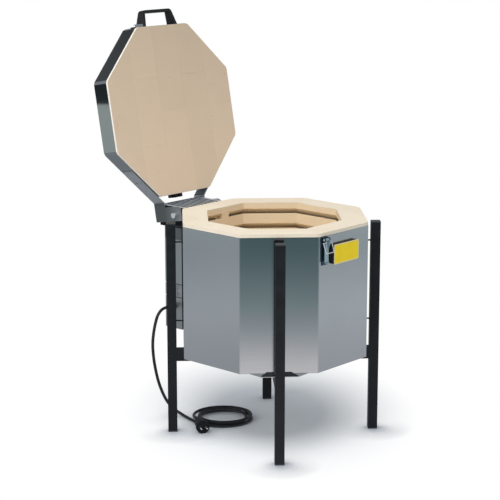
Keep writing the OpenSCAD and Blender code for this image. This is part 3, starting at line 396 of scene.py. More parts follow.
@dataclass(frozen=True)
class Finish(ABC):
    """A procedural material with a Principled BSDF."""

    name: str
    colour: Rgb

    def material(self) -> bpy.types.Material:
        """The finish's material, built at first use."""
        known = bpy.data.materials.get(self.name)
        if known:
            return known
        made = bpy.data.materials.new(self.name)
        made.use_nodes = True
        made.diffuse_color = (*self.colour, 1.0)
        bench = Bench(made.node_tree)
        shader = next(n for n in made.node_tree.nodes if n.type == "BSDF_PRINCIPLED")
        self.dress(bench, shader)
        return made

    @abstractmethod
    def dress(self, b: Bench, shader: bpy.types.Node) -> None:
        """Feeds the shader's sockets."""

    @staticmethod
    def effect(b: Bench, effect: Effect, scale: float) -> Any:
        """Outputs of a shared group placed in a material at a scale of its own."""
        node = b.add("ShaderNodeGroup", node_tree=Effects.group(effect))
        b.feed(node.inputs["Vector"], b.place())
        node.inputs["Scale"].default_value = scale
        return node.outputs

    @staticmethod
    def relief(b: Bench, shader: bpy.types.Node, height: Any, strength: float, depth: float) -> None:
        """Feeds a bump of a given depth in metres to the shader's normal."""
        bump = b.add("ShaderNodeBump", {"Strength": strength, "Distance": depth, "Height": height})
        b.feed(shader.inputs["Normal"], bump.outputs[0])


@dataclass(frozen=True)
class BrickFinish(Finish):
    """Porous insulating brick: cream, warmer in clouds, with painted shade in its pits, browner inside the firing
    chamber, partly from firing and partly as painted shade.
    """

    warm: Rgb = (0.62, 0.46, 0.30)
    # Colour of the pits: painted shade inside the open pores.
    pit: Rgb = (0.40, 0.30, 0.20)
    # Tone of brick inside the chamber: browned by firing, and darker and warmer as painted shade of the chamber's
    # inside.
    firing_and_shade_tone: Rgb = (0.90, 0.73, 0.50)
    warmth: float = 0.5
    pit_shade_share: float = 0.55
    pore_scale: float = 420.0
    pore_depth: float = 1.2 * MM
    cloud_scale: float = 7.0
    rough: float = 0.93
    gloss: float = 0.2
    chamber_r: float = 0.252
    chamber_top: float = 0.7155
    chamber_edge: float = 2 * MM

    def firing_and_shade_share(self, b: Bench) -> bpy.types.NodeSocket:
        """Share of the chamber tone, partly brick browned by firing and partly painted shade of the chamber's
        inside: 1 on brick that faces the firing chamber, 0 elsewhere.
        """
        radius = b.length(b.vector("MULTIPLY", b.place(), (1.0, 1.0, 0.0)))
        inside = b.spread(radius, self.chamber_r, self.chamber_r + self.chamber_edge, 1.0, 0.0)
        below = b.spread(b.parts()["Z"], self.chamber_top - self.chamber_edge, self.chamber_top, 1.0, 0.0)
        return b.math("MULTIPLY", inside, below)

    def tone(self, b: Bench) -> bpy.types.NodeSocket:
        """Colour of the brick between its pits."""
        cloud = b.math("MULTIPLY", self.effect(b, Effect.MOTTLE, self.cloud_scale)["Value"], self.warmth)
        return b.blend(self.firing_and_shade_share(b), b.blend(cloud, self.colour, self.warm), self.firing_and_shade_tone)

    def dress(self, b: Bench, shader: bpy.types.Node) -> None:
        """Feeds colour, roughness and relief."""
        pores = self.effect(b, Effect.PORES, self.pore_scale)
        # Pits take the pit colour as painted shade in the pores.
        share = b.math("MULTIPLY", pores["Pits"], self.pit_shade_share)
        b.feed(shader.inputs["Base Color"], b.blend(share, self.tone(b), self.pit))
        shader.inputs["Roughness"].default_value = self.rough
        shader.inputs["Specular IOR Level"].default_value = self.gloss
        self.relief(b, shader, pores["Height"], 0.5, self.pore_depth)


@dataclass(frozen=True)
class LidBrickFinish(BrickFinish):
    """Brick of the open lid: pale on its sides as a painted highlight, in the chamber tone on its face, where each
    brick has a tone of its own, with painted shade darkening the face towards the top of the open lid.
    """

    # Pale colour of the brick's sides: a painted highlight along the edges of the lid's face.
    side: Rgb = (0.94, 0.89, 0.80)
    face_way: Xyz = (0.695, -0.695, 0.184)
    face_at: float = -0.24767
    row: float = 0.1116
    rows: int = 5
    lean: float = 0.983
    middle: float = 1.012
    own_share: float = 0.15
    # Share of the darker tone added towards the top of the open lid: painted shade.
    top_share: float = 0.85

    def brick_tone(self, b: Bench) -> bpy.types.NodeSocket:
        """A tone from 0 to 1 for each brick, by its column along the hinge and its place up the column."""
        along, _ = b.hinge_parts()
        column = b.math("FLOOR", b.math("ADD", b.math("DIVIDE", along, self.row), self.rows / 2))
        odd = b.math("MODULO", column, 2.0)
        even = b.math("SUBTRACT", 1.0, odd)
        up = b.math("DIVIDE", b.math("SUBTRACT", b.parts()["Z"], self.middle), 2 * self.row * self.lean)
        even_up = b.math("MAXIMUM", b.math("MINIMUM", up, 0.9), -0.9)
        odd_up = b.math("ADD", up, 0.5)
        own_up = b.math("ADD", b.math("MULTIPLY", odd, odd_up), b.math("MULTIPLY", even, even_up))
        keys = {"X": column, "Y": b.math("FLOOR", own_up), "Z": 3.0}
        cell = b.add("ShaderNodeCombineXYZ", keys).outputs[0]
        return b.add("ShaderNodeTexWhiteNoise", {"Vector": cell}).outputs["Value"]

    def firing_and_shade_share(self, b: Bench) -> bpy.types.NodeSocket:
        """Share of the darker tone: the brick's own, and more of it towards the top of the open lid as painted
        shade.
        """
        own = b.math("MULTIPLY", self.brick_tone(b), self.own_share)
        # Painted shade: the face darkens towards the top of the open lid.
        top_shade = b.spread(b.parts()["Z"], self.middle - 0.25, self.middle + 0.3, 0.0, self.top_share)
        return b.math("ADD", own, top_shade)

    def tone(self, b: Bench) -> bpy.types.NodeSocket:
        """Colour of the face, and of the sides from just behind it, which take a pale painted highlight."""
        keys = {0: b.place(), 1: self.face_way}
        out = b.add("ShaderNodeVectorMath", keys, operation="DOT_PRODUCT").outputs["Value"]
        # Just behind the face the sides take the pale painted highlight.
        face_share = b.spread(out, self.face_at - 1.2 * MM, self.face_at - 0.4 * MM)
        return b.blend(face_share, self.side, super().tone(b))


@dataclass(frozen=True)
class SteelFinish(Finish):
    """Sheet or bar steel with rolling lines and a slow change of gloss."""

    rough: float = 0.3
    spread: float = 0.1
    line_scale: float = 1.0
    cloud_scale: float = 5.0
    dull_share: float = 0.35
    wave: float = 0.0
    wave_scale: float = 2.6
    wave_depth: float = 20 * MM
    metal: float = 1.0
    gloss: float = 0.5
    dark: Rgb = (0.3, 0.3, 0.3)

    def tone(self, b: Bench, share: Any) -> bpy.types.NodeSocket:
        """Colour of the steel where a given share of it is dull."""
        return b.blend(share, self.colour, self.dark)

    def dress(self, b: Bench, shader: bpy.types.Node) -> None:
        """Feeds colour, roughness and a slight unevenness of the sheet."""
        lines = self.effect(b, Effect.LINES, self.line_scale)["Value"]
        cloud = self.effect(b, Effect.MOTTLE, self.cloud_scale)["Value"]
        share = b.math("MULTIPLY", b.math("ADD", lines, cloud), self.dull_share, clamp=True)
        b.feed(shader.inputs["Base Color"], self.tone(b, share))
        low, high = self.rough - self.spread / 2, self.rough + self.spread / 2
        b.feed(shader.inputs["Roughness"], b.spread(lines, 0.3, 0.7, low, high))
        shader.inputs["Metallic"].default_value = self.metal
        shader.inputs["Specular IOR Level"].default_value = self.gloss
        if self.wave > 0.0:
            uneven = b.noise(b.place(), self.wave_scale, 1.0, 0.55)
            self.relief(b, shader, uneven, self.wave, self.wave_depth)


@dataclass(frozen=True)
class GuardFinish(SteelFinish):
    """Steel of the hinge bracket: a painted highlight on its top face, and painted shade, near black, on its cut
    edges and everything below the top.
    """

    # Near-black colour below the top face: painted shade in the bracket's slots and under it.
    scale: Rgb = (0.012, 0.013, 0.015)
    top: float = 0.711

    def tone(self, b: Bench, share: Any) -> bpy.types.NodeSocket:
        """Colour of the steel, by its height: plain steel on the top face as a painted highlight, the painted shade
        colour below it.
        """
        # Share of the top face, which keeps the lighter steel as a painted highlight; all below it takes the
        # painted shade.
        worn = b.spread(b.parts()["Z"], self.top - 0.4 * MM, self.top - 0.2 * MM)
        return b.blend(worn, self.scale, super().tone(b, share))


@dataclass(frozen=True)
class ArmFinish(SteelFinish):
    """Steel of the lid's arms: darker on the outer sides at the hinge, most of all away from the jacket."""

    # Darker tone of the plates' outer sides, strongest away from the jacket.
    far_dark_tone: Rgb = (0.09, 0.10, 0.105)
    far_dark_share: tuple[float, float] = (0.35, 0.95)
    plate_u: tuple[float, float] = (0.0955, 0.0985)
    plate_out: tuple[float, float] = (0.315, 0.395)

    def tone(self, b: Bench, share: Any) -> bpy.types.NodeSocket:
        """Colour of the steel, by its place along the hinge and out from the jacket."""
        along, out = b.hinge_parts()
        either = b.math("ABSOLUTE", along)
        low, high = self.plate_u
        plate = b.math("MULTIPLY", b.spread(either, low, low + MM), b.spread(either, high - MM, high, 1.0, 0.0))
        far_dark = b.math("MULTIPLY", plate, b.spread(out, *self.plate_out, *self.far_dark_share))
        return b.blend(far_dark, super().tone(b, share), self.far_dark_tone)


@dataclass(frozen=True)
class CoatFinish(Finish):
    """Paint, plastic or rubber: a pebbled skin that is duller and paler where it is worn."""

    worn: Rgb = (0.05, 0.05, 0.05)
    rough: float = 0.4
    worn_rough: float = 0.15
    peel: float = 0.15
    peel_depth: float = 0.4 * MM
    grain: float = 700.0
    gloss: float = 0.5

    def tone(self, b: Bench, worn: Any) -> bpy.types.NodeSocket:
        """Colour of the coat where a given share of it is worn."""
        return b.blend(worn, self.colour, self.worn)

    def dress(self, b: Bench, shader: bpy.types.Node) -> None:
        """Feeds colour, roughness and relief."""
        skin = self.effect(b, Effect.PEEL, self.grain)
        b.feed(shader.inputs["Base Color"], self.tone(b, skin["Worn"]))
        rough = b.spread(skin["Worn"], 0.0, 1.0, self.rough, self.rough + self.worn_rough)
        b.feed(shader.inputs["Roughness"], rough)
        shader.inputs["Specular IOR Level"].default_value = self.gloss
        self.relief(b, shader, skin["Height"], self.peel, self.peel_depth)


@dataclass(frozen=True)
class KnobFinish(CoatFinish):
    """Plastic of the regulator's knob, with a pale line on the raised pointer."""

    pale: Rgb = (0.80, 0.80, 0.78)
    pointer_out: float = 0.3971

    def tone(self, b: Bench, worn: Any) -> bpy.types.NodeSocket:
        """Colour of the knob, by its distance out from the kiln's middle."""
        _, out = b.hinge_parts()
        raised = b.spread(out, self.pointer_out, self.pointer_out + 0.2 * MM)
        return b.blend(raised, super().tone(b, worn), self.pale)


@dataclass(frozen=True)
class PlateFinish(Finish):
    """Face of the bare plate: a coloured field inside a pale border."""

    border: Rgb = (0.80, 0.70, 0.36)
    middle: Xyz = (0.0, 0.0, 0.0)
    half: tuple[float, float] = (0.055, 0.020)
    edge: float = 0.3 * MM
    cloud_scale: float = 30.0
    cloud_share: float = 0.25
    shade: float = 0.8
    rough: float = 0.5
    gloss: float = 0.2

    def dress(self, b: Bench, shader: bpy.types.Node) -> None:
        """Feeds the field and its border, by the distance along the face and up from the plate's middle."""
        keys = {"Vector": b.place(), "Rotation": (0.0, 0.0, -STEP * Face.LATCH)}
        turn = b.add("ShaderNodeMapping", keys, vector_type="POINT").outputs[0]
        at = b.add("ShaderNodeSeparateXYZ", {0: turn}).outputs
        across = b.math("ABSOLUTE", b.math("SUBTRACT", at["X"], self.middle[0]))
        up = b.math("ABSOLUTE", b.math("SUBTRACT", at["Z"], self.middle[2]))
        over = b.math("MAXIMUM", b.math("SUBTRACT", across, self.half[0]), b.math("SUBTRACT", up, self.half[1]))
        cloud = b.math("MULTIPLY", self.effect(b, Effect.MOTTLE, self.cloud_scale)["Value"], self.cloud_share)
        field_tone = b.blend(cloud, self.colour, tuple(self.shade * c for c in self.colour))
        border_share = b.spread(over, -self.edge, self.edge)
        b.feed(shader.inputs["Base Color"], b.blend(border_share, field_tone, self.border))
        shader.inputs["Roughness"].default_value = self.rough
        shader.inputs["Specular IOR Level"].default_value = self.gloss


class Finishes:
    """Every finish on the part, named in a maker's plain words."""

    BRICK = BrickFinish("cream firebrick", (0.86, 0.77, 0.62), warm=(0.74, 0.60, 0.44), warmth=0.35)
    LID_BRICK = LidBrickFinish(
        "lid firebrick", (0.83, 0.655, 0.475), warm=(0.77, 0.585, 0.415), firing_and_shade_tone=(0.57, 0.455, 0.33), warmth=0.35
    )
    BOARD = BrickFinish("fibre board", (0.84, 0.81, 0.74), warm=(0.78, 0.74, 0.66))
    MIRROR = SteelFinish(
        "polished jacket", (0.66, 0.68, 0.69), rough=0.16, spread=0.05, wave=0.02, dark=(0.58, 0.60, 0.61)
    )
    SHEET = SteelFinish("zinc sheet", (0.66, 0.67, 0.68), rough=0.22, dark=(0.54, 0.55, 0.56))
    BAND = SteelFinish("dull band steel", (0.37, 0.39, 0.40), rough=0.03, spread=0.02, dark=(0.29, 0.31, 0.32))
    ARM = ArmFinish("arm steel", (0.42, 0.44, 0.46), rough=0.34, metal=0.6, dark=(0.31, 0.33, 0.35))
    GUARD = GuardFinish(
        "bracket steel", (0.50, 0.53, 0.56), rough=0.45, metal=0.3, gloss=0.05, dark=(0.39, 0.42, 0.45)
    )
    # Dark hood: painted shade seen through the bracket's slots and under the bracket.
    HOOD = SteelFinish("hood sheet in painted shade", (0.20, 0.21, 0.22), rough=0.4, dark=(0.15, 0.16, 0.17))
    # Dark back plate: painted shade in the gap between the switch box and the jacket.
    SHADE = SteelFinish("box back in painted shade", (0.10, 0.105, 0.11), rough=0.5, dark=(0.06, 0.065, 0.07))
    BOX = SteelFinish("switch box sheet", (0.46, 0.48, 0.49), rough=0.36, dark=(0.34, 0.36, 0.37))
    BLUED = SteelFinish("blued steel", (0.10, 0.15, 0.20), rough=0.34, line_scale=3.0, dark=(0.06, 0.09, 0.12))
    ZINC = SteelFinish(
        "blue zinc", (0.50, 0.66, 0.73), rough=0.3, line_scale=3.0, metal=0.8, dark=(0.36, 0.49, 0.55)
    )
    BRIGHT = SteelFinish(
        "bright steel", (0.90, 0.92, 0.93), rough=0.2, line_scale=4.0, metal=0.8, dark=(0.76, 0.78, 0.79)
    )
    WIRE = SteelFinish(
        "oxidised wire", (0.30, 0.23, 0.17), rough=0.55, line_scale=6.0, metal=0.7, dark=(0.18, 0.14, 0.11)
    )
    PAINT = CoatFinish("black paint", (0.010, 0.012, 0.015), worn=(0.016, 0.019, 0.023), rough=0.46, gloss=0.22)
    CAP = CoatFinish("cap plastic", (0.035, 0.040, 0.044), worn=(0.05, 0.055, 0.06), rough=0.45)
    PLASTIC = CoatFinish(
        "black plastic", (0.010, 0.011, 0.012), worn=(0.02, 0.02, 0.021), rough=0.42, grain=1100.0, gloss=0.3
    )
    KNOB = KnobFinish(
        "knob plastic", (0.010, 0.011, 0.012), worn=(0.02, 0.02, 0.021), rough=0.42, grain=1100.0, gloss=0.3
    )
    CREAM = CoatFinish("cream plastic", (0.66, 0.63, 0.54), worn=(0.58, 0.55, 0.47), rough=0.45)
    LENS = CoatFinish("amber lens", (0.75, 0.20, 0.03), worn=(0.70, 0.18, 0.03), rough=0.12, peel=0.03)
    RUBBER = CoatFinish(
        "cord rubber", (0.012, 0.014, 0.017), worn=(0.028, 0.032, 0.037), rough=0.5, grain=1400.0
    )
    PLUG = CoatFinish("plug rubber", (0.010, 0.012, 0.014), worn=(0.018, 0.021, 0.024), rough=0.5, gloss=0.12)
    CERAMIC = CoatFinish("white ceramic", (0.82, 0.79, 0.71), worn=(0.74, 0.70, 0.62), rough=0.6)
    PLATE = PlateFinish("yellow plate", (0.97, 0.73, 0.02))


NODE_FINISHES: dict[Finish, str] = {
    Finishes.BRICK: "lower_course middle_course rim_course floor_bricks",
    Finishes.LID_BRICK: "lid_bricks",
    Finishes.BOARD: "floor_board fibre_blanket",
    Finishes.MIRROR: "jacket",
    Finishes.SHEET: "base_plate",
    Finishes.BAND: "lid_band lid_top_sheet lid_strike",
    Finishes.ARM: "lid_arm_left lid_arm_right arm_screws",
    Finishes.GUARD: "hinge_bracket",
    Finishes.SHADE: "box_back",
    Finishes.BOX: "box_tray box_vent box_cover",
    Finishes.HOOD: "box_hood",
    Finishes.BLUED: "latch_base",
    Finishes.ZINC: "latch_lever",
    Finishes.BRIGHT: "latch_pin latch_bail hinge_bolts handle_screws plug_pins",
    # band_lugs take the black paint as painted shade: the lugs face down and lie in shade.
    Finishes.PAINT: (
        "leg_front leg_right leg_back leg_left rail_across rail_front rail_back"
        " leg_flanges leg_standoffs band_lugs band_screw"
    ),
    Finishes.CAP: "leg_caps leg_feet",
    Finishes.PLASTIC: "contactor cable_gland lid_handle plate_block",
    Finishes.PLUG: "plug_body",
    Finishes.KNOB: "regulator_knob",
    Finishes.CREAM: "regulator",
    Finishes.LENS: "pilot_lamp",
    Finishes.CERAMIC: "terminal_bushings thermocouple box_spacers terminal_block",
}


# Nodes that the jacket shows no reflection of
UNMIRRORED = ("leg_flanges", "base_plate")


def paint(made: bpy.types.Object, finish: Finish) -> None:
    """Puts a finish in every material slot of an object."""
    if not made.material_slots:
        made.data.materials.append(finish.material())
    for slot in made.material_slots:
        slot.material = finish.material()


# Sub-assemblies


@dataclass
class MainsCord:
    """The mains cord, from the cable gland down to the floor, round its coil and into the plug."""

    nodes: dict[str, bpy.types.Object]
    radius: float = 0.005
    half_af: float = 0.290
    gland_u: float = -0.134
    gland_off: float = 0.0565
    gland_z: float = 0.379
    coil_mid: tuple[float, float] = (-0.158, 0.104)
    coil_r: float = 0.100
    coil_squash: float = 0.88
    coil_pitch: float = 0.018
    coil_from: float = 215.0
    coil_to: float = 1260.0
    coil_step: float = 5.0
    coil_gap: float = 0.5 * MM
    straight: float = 10 * MM
    sides: int = 14
    plug_way: Xyz = (0.22, -0.9755, 0.0)
    plug_entry: Xyz = (-0.250, 0.053, 0.022)
    plug_rise: tuple[Xyz, ...] = ((0.001, -0.018, 0.0015), (0.003, -0.033, 0.0035))
    route: tuple[Xyz, ...] = (
        (-0.3555, 0.1346, 0.3777),
        (-0.3638, 0.1263, 0.3730),
        (-0.3710, 0.1193, 0.3648),
        (-0.3770, 0.1140, 0.3528),
        (-0.3832, 0.1102, 0.3300),
        (-0.3884, 0.1096, 0.3020),
        (-0.3917, 0.1125, 0.2700),
        (-0.3914, 0.1200, 0.2340),
        (-0.3870, 0.1315, 0.1870),
        (-0.3770, 0.1455, 0.1300),
        (-0.3640, 0.1550, 0.0860),
        (-0.3490, 0.1595, 0.0520),
        (-0.3330, 0.1595, 0.0300),
        (-0.3160, 0.1540, 0.0160),
        (-0.3010, 0.1430, 0.0090),
        (-0.2870, 0.1250, 0.0056),
        (-0.2740, 0.1030, 0.0050),
    )

    def coil_points(self, angles: Array) -> Array:
        """Points of the coil: a spiral in, a climb in the half turn where it reverses, a spiral out on top.

        Args:
            angles: Angles in degrees, counted on through the turns.

        Returns:
            One point an angle.
        """
        turn = (self.coil_from + self.coil_to) / 2
        least = self.coil_r - self.coil_pitch * (turn - self.coil_from) / 360
        r = least + self.coil_pitch * np.abs(angles - turn) / 360
        climb = np.clip((angles - turn + 90) / 180, 0.0, 1.0)
        z = self.radius + (2 * self.radius + self.coil_gap) * (1 - np.cos(np.pi * climb)) / 2
        a = np.radians(angles)
        x0, y0 = self.coil_mid
        return np.stack([x0 + r * np.cos(a), y0 + self.coil_squash * r * np.sin(a), z], axis=-1)

    @staticmethod
    def smooth(points: Array, steps: int) -> Array:
        """Catmull-Rom curve: cubics that pass each point along the chord of its two neighbours."""
        p = np.concatenate([points[:1], points, points[-1:]])
        t = (np.arange(steps) / steps)[None, :, None]
        p0, p1, p2, p3 = (p[k : len(p) - 3 + k, None, :] for k in range(4))
        curve = 2 * p1 + (p2 - p0) * t + (2 * p0 - 5 * p1 + 4 * p2 - p3) * t**2
        curve = curve + (3 * p1 - p0 - 3 * p2 + p3) * t**3
        return np.concatenate([curve.reshape(-1, 3) / 2, points[-1:]])

    def path(self) -> Array:
        """The whole middle line, from the gland's mouth to the plug."""
        gland_o = self.half_af + self.gland_off
        mouth = np.array([self.gland_u - gland_o, self.gland_u + gland_o, 0.0]) * HALF_ROOT
        mouth[2] = self.gland_z
        out_way = np.array([-HALF_ROOT, -HALF_ROOT, 0.0])
        a = math.radians(self.coil_from)
        into = unit(np.array([-math.sin(a), self.coil_squash * math.cos(a), 0.0]))
        coil = self.coil_points(np.arange(self.coil_from, self.coil_to + 0.1, self.coil_step))
        first, last = coil[0], coil[-1]
        out = [mouth, mouth + self.straight / 2 * out_way, mouth + self.straight * out_way]
        back = [first - 2.2 * self.straight * into, first - self.straight * into, first]
        entry, plug_way = np.array(self.plug_entry), np.array(self.plug_way)
        tail = [last, *(last + np.array(self.plug_rise)), entry - self.straight * plug_way, entry]
        lead = self.smooth(np.concatenate([out, self.route, back]), 8)
        return np.concatenate([lead[:-1], coil[:-1], self.smooth(np.array(tail), 6)])

    def build(self) -> None:
        path = self.path()
        side = unit(np.array([0.5, -0.5, 0.707]))
        rings = tube_points(path, self.radius, self.sides, side)
        made = make_object("mains_cord", rings, tube_faces(len(path), self.sides))
        paint(made, Finishes.RUBBER)
        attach(made, Body.FRAME.value)
        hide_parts("cord_lead", "cord_coil")
        LOG.info("mains_cord: %.3f m", path_length(path))


@dataclass
class HeatingElements:
    """Six wound elements in the grooves of the wall, each with two straight tails out through the brick."""

    centre: float = 0.221
    radius: float = 0.0041
    wire: float = 0.0009
    pitch: float = 0.0046
    bend: float = 0.016
    terminal_x: float = 0.036
    tail_end: float = 0.320
    tail_radius: float = 0.0022
    tail_rings: int = 9
    tail_sides: int = 10
    wire_sides: int = 4
    turn_points: int = 8
    corner_points: int = 7
    floor_z: float = 0.375
    course: float = 0.114
    courses: int = 3
    rows: int = 2
    drop: float = 0.0365
    row_pitch: float = 0.0495
    groove_half: float = 0.007
    rest_r: float = 0.005
    rest_gap: float = 0.1 * MM

    def heights(self) -> list[float]:
        """Heights of the elements, each resting on the floor of its groove."""
        rest = self.rest_r + self.rest_gap - self.groove_half
        tops = [self.floor_z + (c + 1) * self.course for c in range(self.courses)]
        return [top - self.drop - row * self.row_pitch + rest for top in tops for row in range(self.rows)]

    def wall_line(self, z: float) -> Array:
        """Middle line of one element: straight along each face, an arc of the bend's radius at each corner.

        Args:
            z: Height of the element.

        Returns:
            Evenly spaced points from one end of the groove to the other.
        """
        half = (self.centre - self.bend) * math.tan(STEP / 2)
        a = np.pi / 2 - np.linspace(0.0, STEP, self.corner_points)
        x, y = half + self.bend * np.cos(a), self.centre - self.bend + self.bend * np.sin(a)
        corner = np.stack([x, y, np.full(self.corner_points, z)], axis=-1)
        corners = [on_face(Face.HINGE - k, corner) for k in range(FACES)]
        ends = on_face(Face.HINGE, np.array([[side * self.terminal_x, self.centre, z] for side in (1, -1)]))
        line = np.concatenate([ends[:1], *corners, ends[1:]])
        along = np.concatenate([[0.0], np.cumsum(np.linalg.norm(np.diff(line, axis=0), axis=1))])
        turns = round(along[-1] / self.pitch)
        at = np.linspace(0.0, along[-1], turns * self.turn_points + 1)
        return np.stack([np.interp(at, along, line[:, k]) for k in range(3)], axis=-1)

    def winding(self, z: float) -> Array:
        """Wire wound round the middle line: m + r (cos a * n + sin a * up).

        Args:
            z: Height of the element.

        Returns:
            Rings of points along the wire.
        """
        line = self.wall_line(z)
        up = np.array([0.0, 0.0, 1.0])
        n = unit(np.cross(up, tangents(line)))
        a = np.arange(len(line))[:, None] * (2 * np.pi / self.turn_points)
        out = np.cos(a) * n + np.sin(a) * up
        return tube_points(line + self.radius * out, self.wire, self.wire_sides, out)

    def tail(self, x: float, z: float) -> Array:
        """Rings of a straight tail at a place along the hinge's face, from the element out through the wall."""
        y = np.linspace(self.centre, self.tail_end, self.tail_rings)
        flat = np.ones(self.tail_rings)
        line = on_face(Face.HINGE, np.stack([x * flat, y, z * flat], axis=-1))
        return tube_points(line, self.tail_radius, self.tail_sides, np.array([0.0, 0.0, 1.0]))

    def build(self) -> None:
        """Makes the windings and the tails."""
        for number, z in enumerate(self.heights(), start=1):
            rings = self.winding(z)
            faces = tube_faces(len(rings), self.wire_sides)
            points = [rings.reshape(-1, 3)]
            for x in (-self.terminal_x, self.terminal_x):
                faces += tube_faces(self.tail_rings, self.tail_sides, sum(len(p) for p in points))
                points.append(self.tail(x, z).reshape(-1, 3))
            made = make_object(f"wound_element_{number}", np.concatenate(points), faces)
            paint(made, Finishes.WIRE)
            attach(made, Body.FRAME.value)
            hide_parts("heating_elements")
            LOG.info("%s: %d faces", made.name, len(faces))


@dataclass
class BarePlate:
    """Bare yellow plate on the front of its block, on the latch side's face."""

    x: float = 0.0035
    z: float = 0.6445
    width: float = 0.120
    height: float = 0.062
    back: float = 0.302
    thick: float = 0.0012
    corner: float = 0.003
    border: float = 0.0032
    edge: float = 0.3 * MM

    def lift(self, flat: Array) -> Array:
        """Puts points drawn flat (x, up, height out) on the latch side's face."""
        out = np.stack([self.x - flat[..., 0], self.back + flat[..., 2], self.z + flat[..., 1]], axis=-1)
        return on_face(Face.LATCH, out)

    def build(self) -> None:
        """Makes the plate, with slightly broken edges."""
        edge, top = self.edge, self.thick
        outline = rounded_outline(self.width, self.height, self.corner)
        stack = stacked_outline(outline, [(edge, 0.0), (0.0, edge), (0.0, top - edge), (edge, top)])
        levels, count = stack.shape[:2]
        walls = grid_quads(levels, count, close_cols=True).tolist()
        last = range((levels - 1) * count, levels * count)
        faces = [*walls, list(range(count)), list(reversed(last))]
        made = make_object("bare_yellow_plate", self.lift(stack).reshape(-1, 3), faces, smooth=False)
        half = (self.width / 2 - self.border, self.height / 2 - self.border)
        paint(made, replace(Finishes.PLATE, middle=(self.x, self.back, self.z), half=half))
        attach(made, Body.FRAME.value)
        LOG.info("%s: %d faces", made.name, len(faces))


# Studio


@dataclass(frozen=True)
class Lamp:
    """A square area lamp: its name, its place, the length of a side and its power in watts."""

    name: str
    at: Xyz
    size: float
    watts: float


